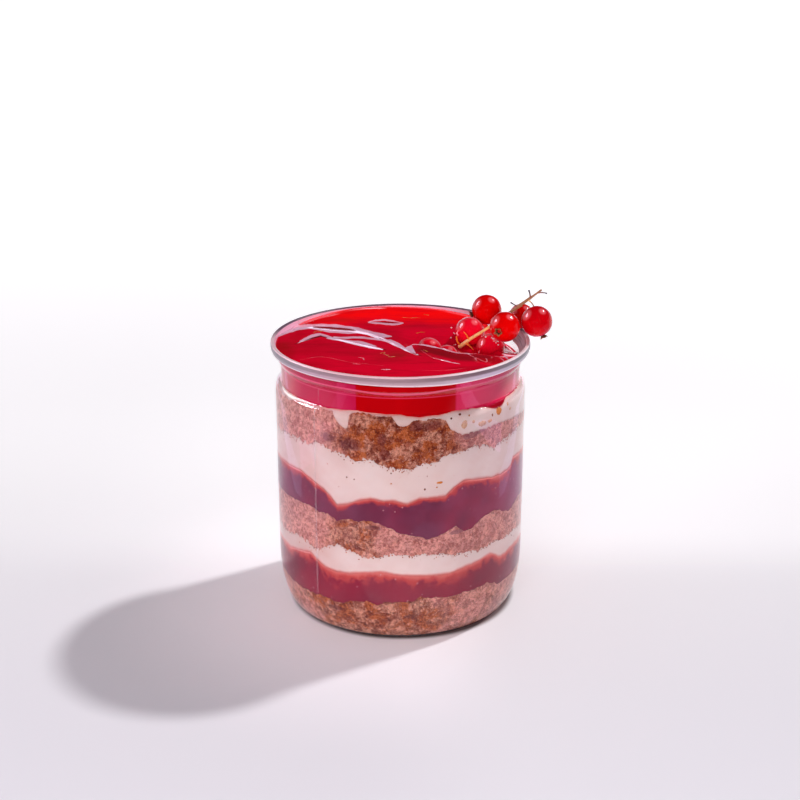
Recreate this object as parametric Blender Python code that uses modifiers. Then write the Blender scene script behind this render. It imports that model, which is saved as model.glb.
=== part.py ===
# Layered dessert in a clear round jar with a seamed metal rim. Crumb, jam and cream lie in
# uneven layers under a poured red jelly, and a sprig of red currants leans over the rim.
# Sizes below are in millimetres and become metres when a mesh is made. +Z is up, the
# origin is the centre of the jar's base, the front faces -Y and the sprig leans to +X.
# Angles round the jar are in degrees from the front, growing towards +X.

import math

import bmesh
import bpy
from mathutils import Vector

MM = 0.001
TURN_STEPS = 52
GAP = 0.3

# Jar
BODY_RADIUS = 37.0
WALL = 0.65
FLOOR = 0.9
CORNER_WIDTH = 5.1
CORNER_HEIGHT = 16.8
CORNER_STEPS = 5
SHOULDER_LOW = 69.0
SHOULDER_HIGH = 71.4
NECK_RADIUS = 35.2
NECK_HIGH = 74.2
BEAD_RADIUS = 35.95
BEAD_HIGH = 76.3
FLANGE_RADIUS = 37.5
FLANGE_HIGH = 78.4

# Metal rim
RIM_RADIUS = 38.1
RIM_HIGH = 81.2
RIM_LOW = 78.75
RIM_THICK = 1.3
SKIRT_LOW = 76.7
SKIRT_RADIUS = 34.85
SKIRT_THICK = 0.35

# Height of each layer's top edge on the jar wall, read every 10 degrees from -80 to 80
LEVELS = {
    "crumb_base": (11.9, 11.9, 11.2, 11.2, 11.3, 11.0, 12.7, 12.7, 13.6,
                   14.5, 14.0, 14.2, 14.3, 13.0, 12.5, 12.7, 12.6),
    "jam_lower": (22.1, 22.1, 22.1, 23.4, 22.4, 20.8, 21.3, 22.4, 21.9,
                  21.4, 21.1, 22.0, 23.0, 21.9, 21.3, 21.5, 21.4),
    "cream_lower": (26.2, 26.2, 27.0, 27.5, 26.6, 28.9, 27.6, 27.4, 28.4,
                    27.9, 27.6, 26.8, 26.4, 26.8, 26.7, 26.1, 25.3),
    "crumb_middle": (37.9, 38.0, 38.4, 38.6, 38.3, 37.4, 37.8, 37.6, 35.1,
                     33.3, 34.2, 34.0, 36.0, 36.2, 34.4, 35.8, 35.9),
    "jam_upper": (47.8, 47.8, 48.2, 48.2, 46.3, 42.5, 43.4, 44.6, 44.2,
                  45.1, 45.7, 48.7, 47.9, 47.2, 48.6, 49.6, 49.5),
    "cream_upper": (56.0, 56.8, 57.9, 58.2, 58.8, 57.7, 56.2, 55.8, 54.5,
                    55.2, 57.3, 58.2, 58.0, 57.2, 58.2, 58.3, 58.3),
    "crumb_top": (67.9, 68.1, 68.6, 69.0, 69.2, 67.5, 68.4, 68.7, 67.3,
                  67.6, 66.5, 63.0, 63.2, 63.1, 62.6, 62.0, 61.3),
    "cream_cap": (71.2, 71.2, 70.9, 70.6, 70.2, 70.0, 70.1, 69.8, 69.4,
                  68.9, 69.3, 69.6, 69.1, 68.5, 68.6, 69.6, 69.8),
}

# Jelly surface
JELLY_LEVEL = 80.0
HOLLOW_DEPTH = 2.8
DIP_DEPTH = 5.0
RIDGE_LIFT = 0.35
RIDGE_LINE = ((-6.0, -5.5), (0.8, -7.0), (4.0, -4.2), (8.8, -5.5), (12.4, -9.0),
              (16.0, -12.3), (21.7, -13.3), (26.0, -15.0), (40.0, -17.0))

# Currants: centre, radius, and the way that the dried flower at the end points
BERRIES = {
    "berry_high": ((25.9, 11.5, 86.5), 4.40, (-0.95, -0.10, -0.30)),
    "berry_front": ((30.2, -5.0, 85.9), 4.31, (-0.44, -0.90, -0.06)),
    "berry_overhang": ((39.8, -1.0, 86.4), 4.50, (0.40, -0.30, -0.87)),
    "berry_left": ((20.7, 6.0, 81.3), 4.20, (-0.20, 0.75, -0.60)),
    "berry_behind": ((36.5, 8.0, 85.7), 3.80, (0.45, 0.75, -0.50)),
    "berry_glazed": ((26.5, -0.5, 78.1), 4.15, (0.55, 0.10, -0.83)),
    "berry_sunk_back": ((8.5, 2.0, 76.6), 3.70, (-0.60, 0.20, -0.77)),
    "berry_sunk_front": ((13.7, -3.0, 76.6), 3.05, (-0.20, -0.30, -0.93)),
}
SUNK = ("berry_left", "berry_glazed", "berry_sunk_back", "berry_sunk_front")

# Stem of the sprig: points of the main stem, each with its radius
STEM = (((17.3, 1.0, 77.9), 0.55), ((20.9, 0.4, 80.8), 0.60), ((25.0, 0.4, 83.5), 0.62),
        ((29.2, 1.0, 86.3), 0.66), ((32.9, 1.4, 88.95), 0.72), ((36.6, 2.0, 91.6), 0.78),
        ((39.1, 3.0, 93.1), 0.62), ((41.4, 3.5, 94.7), 0.48))
TWIG_RADIUS = 0.34
TWIGS = (
    ((33.6, 1.5, 89.4), (33.0, 1.2, 90.4), (31.8, 1.0, 91.2)),
    ((38.0, 2.5, 92.4), (37.9, 2.3, 93.6), (37.4, 2.1, 94.9)),
    ((40.5, 3.3, 94.0), (41.6, 3.2, 93.9), (42.9, 3.1, 93.9)),
    ((17.8, 1.0, 78.3), (16.8, 0.9, 79.7), (16.3, 1.2, 81.0)),
    ((20.2, 0.5, 80.2), (19.5, 0.4, 81.7), (18.9, 0.6, 82.6)),
    ((19.2, 0.7, 79.4), (20.3, -0.6, 78.8), (21.3, -1.0, 78.0)),
    ((37.3, 2.3, 91.9), (38.0, 1.3, 91.6), (38.6, 0.4, 91.3)),
    ((31.0, 1.2, 87.6), (30.7, -0.6, 89.1), (30.5, -2.1, 90.1)),
    ((30.0, 1.1, 86.9), (29.0, 4.2, 88.6), (27.6, 6.9, 89.0)),
    ((34.6, 1.7, 90.2), (35.4, 4.0, 90.3), (36.1, 6.2, 90.0)),
)

COLOURS = {
    "jar": ((0.93, 0.95, 0.97), 0.05, 0.0),
    "rim_ring": ((0.78, 0.76, 0.78), 0.28, 1.0),
    "crumb": ((0.45, 0.19, 0.12), 0.80, 0.0),
    "jam": ((0.24, 0.02, 0.07), 0.30, 0.0),
    "cream": ((0.87, 0.70, 0.69), 0.55, 0.0),
    "jelly": ((0.50, 0.00, 0.02), 0.08, 0.0),
    "berry": ((0.72, 0.01, 0.01), 0.15, 0.0),
    "stem": ((0.72, 0.38, 0.16), 0.60, 0.0),
}


def clear_scene():
    for item in list(bpy.data.objects):
        bpy.data.objects.remove(item, do_unlink=True)


def new_collection(name):
    collection = bpy.data.collections.new(name)
    bpy.context.scene.collection.children.link(collection)
    return collection


def material_for(name):
    colour, roughness, metallic = COLOURS[name.split("_")[0] if name not in COLOURS else name]
    material = bpy.data.materials.new(name)
    material.use_nodes = True
    shader = material.node_tree.nodes["Principled BSDF"]
    shader.inputs["Base Color"].default_value = (*colour, 1.0)
    shader.inputs["Roughness"].default_value = roughness
    shader.inputs["Metallic"].default_value = metallic
    material.diffuse_color = (*colour, 1.0)
    return material


def read_line(points, at):
    # Straight-line reading of a short list of (position, value) points
    if at <= points[0][0]:
        return points[0][1]
    for (x0, y0), (x1, y1) in zip(points, points[1:]):
        if at <= x1:
            return y0 + (y1 - y0) * (at - x0) / (x1 - x0)
    return points[-1][1]


def ease(value):
    # 0 below 0, 1 above 1 and a smooth rise between
    value = min(max(value, 0.0), 1.0)
    return value * value * (3.0 - 2.0 * value)


def corner(inset, floor, steps):
    # The jar's lower corner is a quarter of a tall ellipse. Points run from wall to base.
    height = CORNER_HEIGHT - floor
    middle = BODY_RADIUS - inset - CORNER_WIDTH
    points = []
    for step in range(steps + 1):
        angle = math.radians(90.0 * step / steps)
        points.append((middle + CORNER_WIDTH * math.cos(angle),
                       CORNER_HEIGHT - height * math.sin(angle)))
    return points


def wall_inside(z):
    # Radius of the inner face of the jar, and above it of the rim's skirt
    if z < CORNER_HEIGHT:
        curve = [(height, radius) for radius, height in corner(WALL, FLOOR, CORNER_STEPS)]
        return read_line(curve[::-1], z - GAP)
    body = BODY_RADIUS - WALL
    neck = NECK_RADIUS - WALL
    return read_line(((SHOULDER_LOW, body), (SHOULDER_LOW + 1.2, body - 0.45),
                      (SHOULDER_HIGH, neck), (SKIRT_LOW - 0.1, neck),
                      (SKIRT_LOW, SKIRT_RADIUS - 0.1), (RIM_HIGH, SKIRT_RADIUS + 2.1)), z)


def spun(name, profile, closed=False):
    # A turned solid: a profile of (radius, height) points, listed down its outer side
    mesh = bpy.data.meshes.new(name)
    count = len(profile)
    links = [(i, i + 1) for i in range(count - 1)]
    if closed:
        links.append((count - 1, 0))
    mesh.from_pydata([(r, 0.0, z) for r, z in profile], links, [])
    item = bpy.data.objects.new(name, mesh)
    bpy.context.scene.collection.objects.link(item)
    turn = item.modifiers.new("turn", "SCREW")
    turn.axis = "Z"
    turn.angle = math.tau
    turn.steps = TURN_STEPS
    turn.render_steps = TURN_STEPS
    turn.use_merge_vertices = True
    turn.merge_threshold = 0.00001
    return item


def as_mesh(item, name):
    # The evaluated shape as a plain mesh object at the same place, its loose caps welded
    shape = item.evaluated_get(bpy.context.evaluated_depsgraph_get())
    mesh = bpy.data.meshes.new_from_object(shape)
    mesh.name = name
    build = bmesh.new()
    build.from_mesh(mesh)
    bmesh.ops.remove_doubles(build, verts=build.verts, dist=0.00001)
    build.to_mesh(mesh)
    build.free()
    place = item.matrix_world.copy()
    bpy.data.objects.remove(item, do_unlink=True)
    solid = bpy.data.objects.new(name, mesh)
    solid.matrix_world = place
    return solid


def finish(solid, collection, material):
    collection.objects.link(solid)
    solid.data.materials.clear()
    solid.data.materials.append(material_for(material))
    solid.data.shade_smooth()
    solid.data.set_sharp_from_angle(angle=math.radians(40))
    return solid


def make_jar(collection):
    inner = BODY_RADIUS - WALL
    neck_in = NECK_RADIUS - WALL
    floor = [(0.0, FLOOR)] + corner(WALL, FLOOR, CORNER_STEPS)[::-1]
    inside = [(inner, SHOULDER_LOW), (inner - 0.4, SHOULDER_LOW + 1.3),
              (neck_in, SHOULDER_HIGH), (neck_in, NECK_HIGH + 0.1),
              (BEAD_RADIUS - 0.6, NECK_HIGH + 0.8), (BEAD_RADIUS - 0.4, BEAD_HIGH - 0.1),
              (FLANGE_RADIUS - 0.5, FLANGE_HIGH)]
    outside = [(FLANGE_RADIUS, FLANGE_HIGH), (FLANGE_RADIUS - 0.2, FLANGE_HIGH - 0.3),
               (BEAD_RADIUS + 0.1, BEAD_HIGH), (BEAD_RADIUS, NECK_HIGH + 0.6),
               (NECK_RADIUS, NECK_HIGH), (NECK_RADIUS, SHOULDER_HIGH + 0.1),
               (BODY_RADIUS - 0.5, SHOULDER_LOW + 1.3), (BODY_RADIUS, SHOULDER_LOW)]
    base = corner(0.0, 0.0, CORNER_STEPS) + [(0.0, 0.0)]
    profile = [(r * MM, z * MM) for r, z in floor + inside + outside + base]
    return finish(as_mesh(spun("jar", profile), "jar"), collection, "jar")


def make_rim(collection):
    # Rolled seam with a rounded crest, and the skirt that slopes in below it
    inner = RIM_RADIUS - RIM_THICK
    profile = [(RIM_RADIUS - 0.12, RIM_HIGH - 0.25), (RIM_RADIUS, RIM_HIGH - 0.7),
               (RIM_RADIUS, RIM_LOW + 0.3), (RIM_RADIUS - 0.25, RIM_LOW),
               (inner - 0.1, RIM_LOW), (SKIRT_RADIUS + SKIRT_THICK, SKIRT_LOW),
               (SKIRT_RADIUS, SKIRT_LOW), (inner + 0.05, RIM_HIGH - 0.6),
               (inner + 0.3, RIM_HIGH - 0.12), (RIM_RADIUS - 0.6, RIM_HIGH)]
    profile = [(r * MM, z * MM) for r, z in profile]
    return finish(as_mesh(spun("rim_ring", profile, closed=True), "rim_ring"), collection, "rim_ring")


def wall_level(name, angle):
    # Height of a layer's top edge at an angle. The hidden back repeats the front's waves
    # from the other side, at half their size, with a slow wave of its own.
    values = LEVELS[name]
    angle = (angle + 180.0) % 360.0 - 180.0
    back = 0.0
    if abs(angle) > 90.0:
        back = -math.cos(math.radians(angle))
        angle = math.copysign(180.0 - abs(angle), angle)
    place = (angle + 80.0) / 10.0
    height = read_line(tuple(enumerate(values)), place)
    middle = sum(values) / len(values)
    slow = 0.8 * math.sin(math.radians(3.0 * angle) + 0.7 * len(name))
    return middle + (height - middle) * (1.0 - 0.5 * back) + slow * back


def edge_surface(name, shift):
    # The surface under or over a layer's top edge: full waves at the wall, calmer inside
    middle = sum(LEVELS[name]) / len(LEVELS[name])

    def height(angle, share):
        return middle + (wall_level(name, angle) - middle) * share ** 1.6 + shift
    return height


def flat_surface(z):
    def height(angle, share):
        return z
    return height


def jelly_height(x, y):
    # Poured jelly: almost level and a little proud at the back left, hollow behind a
    # ridge, with a dip down the wall at the right and back
    behind = y - read_line(RIDGE_LINE, x)
    along = ease((x + 3.0) / 9.0) * ease((31.0 - x) / 6.0)
    hollow = ease(behind / 3.2) * ease((15.0 - y) / 13.0) * along
    lift = math.exp(-(behind / 1.6) ** 2) * along
    dip = math.exp(-((x - 34.0) / 9.0) ** 2 - ((y - 9.0) / 14.0) ** 2)
    proud = 0.45 * math.exp(-((x + 14.0) / 15.0) ** 2 - ((y - 30.0) / 12.0) ** 2)
    fall = max(HOLLOW_DEPTH * hollow, DIP_DEPTH * dip)
    return JELLY_LEVEL - fall + RIDGE_LIFT * lift + proud


def jelly_surface(angle, share):
    reach = share * (RIM_RADIUS - 2.2)
    turn = math.radians(angle)
    return jelly_height(reach * math.sin(turn), -reach * math.cos(turn))


def even_rows(low, high, row):
    return low + (high - low) * row


def jelly_rows(low, high, row):
    # The jelly's side turns in at the jar's shoulder, runs up the neck and then widens
    shoulder = max(SHOULDER_HIGH, low + 0.5)
    return read_line(((0.0, low), (0.25, shoulder), (0.5, NECK_HIGH + 0.3), (1.0, high)), row)


def drum(name, shares, rows, lower, upper, spread=even_rows):
    # A closed drum between two surfaces. It is spun as a unit drum, and each vertex is
    # then placed by its share of the radius and its share of the height.
    top = [(share, 1.0) for share in shares]
    side = [(1.0, row) for row in rows]
    bottom = [(share, 0.0) for share in shares if share in (0.0, 1.0) or share > 0.45][::-1]
    solid = as_mesh(spun(name, top + side + bottom), name)
    for vertex in solid.data.vertices:
        share = math.hypot(vertex.co.x, vertex.co.y)
        angle = math.degrees(math.atan2(vertex.co.x, -vertex.co.y)) if share > 0.001 else 0.0
        row = vertex.co.z
        heights = []
        for part in (share, 1.0):
            heights.append(spread(lower(angle, part), upper(angle, part), row))
        radius = share * (wall_inside(heights[1]) - GAP)
        turn = math.radians(angle)
        vertex.co = Vector((radius * math.sin(turn), -radius * math.cos(turn), heights[0])) * MM
    return solid


def make_layers(collection):
    shares = (0.0, 0.55, 0.85, 1.0)
    half = GAP * 0.65
    names = list(LEVELS)
    finish(drum(names[0], shares, (0.6, 0.32, 0.14, 0.04),
                flat_surface(FLOOR + GAP), edge_surface(names[0], -half)), collection, "crumb")
    for under, name in zip(names, names[1:]):
        solid = drum(name, shares, (), edge_surface(under, half), edge_surface(name, -half))
        finish(solid, collection, name.split("_")[0])


def tube(name, points, radii, collection):
    # A round stalk through points, thicker or thinner by each point's own radius
    curve = bpy.data.curves.new(name, "CURVE")
    curve.dimensions = "3D"
    curve.bevel_depth = MM
    curve.bevel_resolution = 2
    curve.use_fill_caps = True
    line = curve.splines.new("POLY")
    line.points.add(len(points) - 1)
    for spot, place, radius in zip(line.points, points, radii):
        spot.co = (*(Vector(place) * MM), 1.0)
        spot.radius = radius
    item = bpy.data.objects.new(name, curve)
    bpy.context.scene.collection.objects.link(item)
    bpy.context.view_layer.update()
    solid = as_mesh(item, name)
    collection.objects.link(solid)
    return solid


def berry_profile(radius, flower):
    # A round currant, a little flattened at the stalk, with the dried flower at the other
    # end. A currant sunk in the jelly ends round.
    points = [(0.0, 0.95 * radius)]
    for polar in (16, 36, 56, 76, 96, 116, 136, 156):
        turn = math.radians(polar)
        points.append((radius * math.sin(turn), radius * math.cos(turn)))
    if flower:
        points += [(0.65, -0.985 * radius), (0.80, -radius - 0.75), (0.0, -radius - 0.45)]
    else:
        points.append((0.0, -radius))
    return [(r * MM, z * MM) for r, z in points]


def turn_to(solid, place, direction):
    # Stand a solid at a place with its lower end pointing along a direction
    solid.rotation_mode = "QUATERNION"
    solid.rotation_quaternion = Vector((0.0, 0.0, -1.0)).rotation_difference(Vector(direction))
    solid.location = Vector(place) * MM


def make_berries(collection):
    for name, (place, radius, direction) in BERRIES.items():
        item = spun(name, berry_profile(radius, name not in SUNK))
        item.modifiers["turn"].steps = 12
        item.modifiers["turn"].render_steps = 12
        solid = as_mesh(item, name)
        turn_to(solid, place, direction)
        finish(solid, collection, "berry")


def cut_with(solid, cutter):
    cut = solid.modifiers.new("cut", "BOOLEAN")
    cut.operation = "DIFFERENCE"
    cut.solver = "EXACT"
    cut.object = cutter


def make_jelly(collection, cutters):
    # The jelly stops short of everything that is sunk in it
    shares = (0.0, 0.13, 0.26, 0.38, 0.49, 0.6, 0.7, 0.8, 0.9, 1.0)
    solid = drum("jelly", shares, (0.75, 0.5, 0.25), edge_surface("cream_cap", 0.65 * GAP),
                 jelly_surface, jelly_rows)
    finish(solid, collection, "jelly")
    for name in SUNK:
        place, radius, direction = BERRIES[name]
        bpy.ops.mesh.primitive_uv_sphere_add(segments=16, ring_count=9, location=Vector(place) * MM,
                                             radius=(radius + GAP + 0.12) * MM)
        cutter = bpy.context.object
        cutter.name = "pocket_" + name
        move_to(cutter, cutters)
        cut_with(solid, cutter)
    points = [Vector(spot) for spot, radius in STEM[:3]]
    start = points[0] - (points[1] - points[0]).normalized() * 0.5
    cutter = tube("pocket_stem", [start] + points[1:], [1.05, 1.05, 1.05], cutters)
    guide(cutter)
    cut_with(solid, cutter)
    return solid


def move_to(item, collection):
    for holder in list(item.users_collection):
        holder.objects.unlink(item)
    collection.objects.link(item)
    guide(item)


def guide(item):
    item.hide_render = True
    item.display_type = "WIRE"


def make_stem(collection, cutters):
    # The main stem and its side stalks, joined into one body
    twigs = new_collection("twigs")
    for number, points in enumerate(TWIGS):
        radii = [TWIG_RADIUS * 1.15, TWIG_RADIUS, TWIG_RADIUS * 0.9]
        tube("twig_%d" % number, points, radii, twigs)
    main = tube("stem", [spot for spot, radius in STEM], [radius for spot, radius in STEM], twigs)
    twigs.objects.unlink(main)
    bpy.context.scene.collection.objects.link(main)
    join = main.modifiers.new("join", "BOOLEAN")
    join.operation = "UNION"
    join.solver = "EXACT"
    join.operand_type = "COLLECTION"
    join.collection = twigs
    bpy.context.view_layer.update()
    solid = as_mesh(main, "stem")
    for item in list(twigs.objects):
        bpy.data.objects.remove(item, do_unlink=True)
    bpy.data.collections.remove(twigs)
    finish(solid, collection, "stem")


def main():
    clear_scene()
    collection = new_collection("layered_dessert_jar")
    cutters = new_collection("cutters")
    make_jar(collection)
    make_rim(collection)
    make_layers(collection)
    make_berries(collection)
    make_stem(collection, cutters)
    make_jelly(collection, cutters)


main()
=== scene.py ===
# Layered dessert in a clear round jar with a sprig of red currants, dressed round its solids.
# Lengths in the dictionaries are millimetres unless a note says metres, and become metres when
# a mesh is written. Lengths inside the materials are metres.
# Angles round the jar are degrees from the front (-Y) and grow towards +X.
import math

import bpy
import numpy as np
from mathutils import Euler, Matrix


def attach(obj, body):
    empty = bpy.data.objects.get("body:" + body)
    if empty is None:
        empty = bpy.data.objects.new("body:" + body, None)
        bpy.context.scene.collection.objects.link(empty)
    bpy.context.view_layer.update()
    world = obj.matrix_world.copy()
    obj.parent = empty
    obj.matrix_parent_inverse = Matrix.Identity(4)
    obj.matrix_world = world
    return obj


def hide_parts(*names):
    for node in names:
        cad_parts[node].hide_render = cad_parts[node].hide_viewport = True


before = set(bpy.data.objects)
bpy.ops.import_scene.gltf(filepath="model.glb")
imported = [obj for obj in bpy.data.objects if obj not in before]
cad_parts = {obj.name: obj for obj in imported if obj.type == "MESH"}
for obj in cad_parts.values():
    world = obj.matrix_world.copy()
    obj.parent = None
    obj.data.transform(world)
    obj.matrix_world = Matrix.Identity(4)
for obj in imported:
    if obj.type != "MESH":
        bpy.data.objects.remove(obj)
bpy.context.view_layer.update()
mm = 0.001
fullTurn = 2.0 * math.pi


# Number helpers

def ease(value):
    # 0 below 0, 1 above 1 and a smooth rise between
    value = np.clip(value, 0.0, 1.0)
    return value * value * (3.0 - 2.0 * value)


def hump(value):
    # 1 at 0, falling like a bell to almost nothing at 2
    return np.exp(-value * value)


def softWaves(places, size, seed, octaves=3):
    # Sum of sine waves that run in seeded directions, halved in size and height each octave,
    # scaled to about -1..1. size is the longest wave in millimetres.
    draw = np.random.default_rng(seed)
    total = np.zeros(places.shape[:-1])
    for octave in range(octaves):
        for _ in range(7):
            way = draw.normal(size=places.shape[-1])
            way *= draw.uniform(0.75, 1.3) * 2.0 ** octave / (size * np.linalg.norm(way))
            total += np.sin(fullTurn * (places @ way + draw.uniform())) * 0.5 ** octave
    return total / 4.2


def nearestGrain(places, size, seed):
    # One seeded point in each cube of a grid: gives how much further the second nearest one
    # is than the nearest, in cubes, and a number from 0 to 1 that belongs to the nearest
    cubes = np.floor(places / size)
    first = np.full(places.shape[:-1], 9.0)
    second = first.copy()
    tone = np.zeros(places.shape[:-1])
    keys = np.array(((127.1, 311.7, 74.7), (269.5, 183.3, 246.1), (113.5, 271.9, 124.6)))
    for step in np.ndindex(3, 3, 3):
        cube = cubes + np.array(step) - 1.0
        shift = np.mod(np.sin(cube @ keys.T + seed) * 43758.5453, 1.0)
        away = np.linalg.norm(places / size - cube - shift, axis=-1)
        nearer = away < first
        second = np.where(nearer, first, np.minimum(second, away))
        tone = np.where(nearer, shift[..., 0], tone)
        first = np.where(nearer, away, first)
    return second - first, tone


def curveThrough(points, steps):
    # A Catmull-Rom curve: between two points the cubic whose slope at each is half the
    # difference of that point's neighbours
    points = np.asarray(points, float)
    padded = np.vstack((2.0 * points[0] - points[1], points, 2.0 * points[-1] - points[-2]))
    place = np.linspace(0.0, len(points) - 1.0, steps)
    start = np.minimum(place.astype(int), len(points) - 2)
    t = (place - start)[:, None]
    a, b, c, d = (padded[start + k] for k in range(4))
    return 0.5 * (2.0 * b + (c - a) * t + (2.0 * a - 5.0 * b + 4.0 * c - d) * t ** 2
                  + (3.0 * b - a - 3.0 * c + d) * t ** 3)


def roundedProfile(corners, steps=6):
    # (radius, height, rounding) corners: each corner becomes a quadratic arc that starts and
    # ends its rounding away from it. A point just beyond each end of an arc keeps the straight
    # parts flat under smooth shading.
    corners = np.asarray(corners, float)
    line = [corners[0, :2]]
    for before, here, after in zip(corners, corners[1:], corners[2:]):
        spot, reach = here[:2], here[2]
        back, on = before[:2] - spot, after[:2] - spot
        start = spot + back * min(reach / np.linalg.norm(back), 0.45)
        end = spot + on * min(reach / np.linalg.norm(on), 0.45)
        line.append(start + back * 0.03)
        for t in np.linspace(0.0, 1.0, steps if reach > 0.0 else 1):
            line.append((1 - t) ** 2 * start + 2 * t * (1 - t) * spot + t * t * end)
        line.append(end + on * 0.03)
    line.append(corners[-1, :2])
    return np.array(line)


def around(radius, degrees, height):
    # Cylinder coordinates to x, y, z
    turn = np.radians(degrees)
    return np.stack(np.broadcast_arrays(radius * np.sin(turn), -radius * np.cos(turn), height), -1)


def mound(x, y, place, size):
    # 1 at a place, falling like a bell over its size along x and y
    return np.exp(-((x - place[0]) / size[0]) ** 2 - ((y - place[1]) / size[1]) ** 2)


# Mesh helpers

def gridShape(grid, capFirst=False, capLast=False, **values):
    # A closed or open surface: quads between neighbouring rows and columns of the grid, the
    # columns joined round, and fans that close the first and last row at their mean point
    rows, columns = grid.shape[:2]
    index = np.arange(rows * columns).reshape(rows, columns)
    left, right = index, np.roll(index, -1, axis=1)
    quads = np.stack((left[:-1], right[:-1], right[1:], left[1:]), -1).reshape(-1, 4)
    points = [grid.reshape(-1, 3)]
    data = {key: [np.broadcast_to(value, (rows, columns)).reshape(-1)]
            for key, value in values.items()}
    fans = []
    for row, wanted, backward in ((0, capFirst, True), (-1, capLast, False)):
        if wanted:
            pole = rows * columns + len(points) - 1
            points.append(grid[row].mean(axis=0)[None])
            ends = (right[row], left[row]) if backward else (left[row], right[row])
            fans.append(np.stack((*ends, np.full(len(left[row]), pole)), -1))
            for key in data:
                data[key].append(data[key][0].reshape(rows, columns)[row].mean()[None])
    shape = {"points": np.concatenate(points), "quads": quads,
             "fans": np.concatenate(fans) if fans else np.zeros((0, 3), int),
             "values": {key: np.concatenate(value) for key, value in data.items()}}
    return outward(shape)


def outward(shape):
    # The signed volume is negative where faces point inwards, and they are then turned
    points, quads = shape["points"] - shape["points"].mean(axis=0), shape["quads"]
    corners = np.concatenate((quads[:, (0, 1, 2)], quads[:, (0, 2, 3)], shape["fans"]))
    a, b, c = (points[corners[:, k]] for k in range(3))
    if np.einsum("ij,ij->", a, np.cross(b, c)) < 0.0:
        shape["quads"], shape["fans"] = quads[:, ::-1], shape["fans"][:, ::-1]
    return shape


def buildPiece(name, shapes, finish, nodes=()):
    # Writes one mesh object from one or more shapes, lets it ride and hides the parts that it replaces
    offset = np.cumsum([0] + [len(shape["points"]) for shape in shapes])
    points = np.concatenate([shape["points"] for shape in shapes]) * mm
    quads = np.concatenate([shape["quads"] + start for shape, start in zip(shapes, offset)])
    fans = np.concatenate([shape["fans"] + start for shape, start in zip(shapes, offset)])
    mesh = bpy.data.meshes.new(name)
    mesh.vertices.add(len(points))
    mesh.vertices.foreach_set("co", points.ravel())
    mesh.loops.add(quads.size + fans.size)
    mesh.loops.foreach_set("vertex_index", np.concatenate((quads.ravel(), fans.ravel())))
    mesh.polygons.add(len(quads) + len(fans))
    starts = np.concatenate((np.arange(len(quads)) * 4, quads.size + np.arange(len(fans)) * 3))
    mesh.polygons.foreach_set("loop_start", starts)
    mesh.polygons.foreach_set("use_smooth", np.full(len(starts), True))
    for key in shapes[0]["values"]:
        layer = mesh.attributes.new(key, "FLOAT", "POINT")
        layer.data.foreach_set("value", np.concatenate([shape["values"][key] for shape in shapes]))
    mesh.update(calc_edges=True)
    mesh.materials.append(finish.material)
    piece = bpy.data.objects.new(name, mesh)
    bpy.context.scene.collection.objects.link(piece)
    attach(piece, "root")
    if nodes:
        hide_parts(*nodes)
    print(name, len(points), "points", len(quads) * 2 + len(fans), "triangles")
    return piece


def tubeShape(points, radii, sides=12, flatten=1.0, **values):
    # A ring of the radius round each point of a path, square to the path, with closed ends.
    # flatten squeezes the ring along its second direction.
    way = np.gradient(points, axis=0)
    way /= np.linalg.norm(way, axis=1)[:, None]
    across = np.cross(way, (0.0, 0.0, 1.0)) + 1e-6
    across /= np.linalg.norm(across, axis=1)[:, None]
    upward = np.cross(across, way)
    turn = np.linspace(0.0, fullTurn, sides, endpoint=False)
    ring = (across[:, None] * np.cos(turn)[None, :, None]
            + upward[:, None] * np.sin(turn)[None, :, None] * flatten)
    grid = points[:, None] + ring * np.asarray(radii).reshape(len(points), -1, 1)
    return gridShape(grid, capFirst=True, capLast=True,
                     **{key: np.asarray(value).reshape(-1, 1) for key, value in values.items()})


# Shader helpers

class Wire:
    # One output of a shader node. Python's operators on it add Math nodes.
    def __init__(self, finish, socket):
        self.finish = finish
        self.socket = socket

    def maths(self, operation, first, second):
        return self.finish.node("ShaderNodeMath", {"operation": operation}, {0: first, 1: second})

    def __add__(self, other):
        return self.maths("ADD", self, other)

    def __radd__(self, other):
        return self.maths("ADD", other, self)

    def __sub__(self, other):
        return self.maths("SUBTRACT", self, other)

    def __rsub__(self, other):
        return self.maths("SUBTRACT", other, self)

    def __mul__(self, other):
        return self.maths("MULTIPLY", self, other)

    def __rmul__(self, other):
        return self.maths("MULTIPLY", other, self)

    def __truediv__(self, other):
        return self.maths("DIVIDE", self, other)

    def __pow__(self, other):
        return self.maths("POWER", self, other)

    def size(self):
        # The value without its sign
        return (self * self) ** 0.5

    def between(self, low, high):
        # 0 at low, 1 at high, smooth between
        return self.finish.node("ShaderNodeMapRange", {"interpolation_type": "SMOOTHSTEP"},
                                {"Value": self, "From Min": low, "From Max": high})


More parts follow.
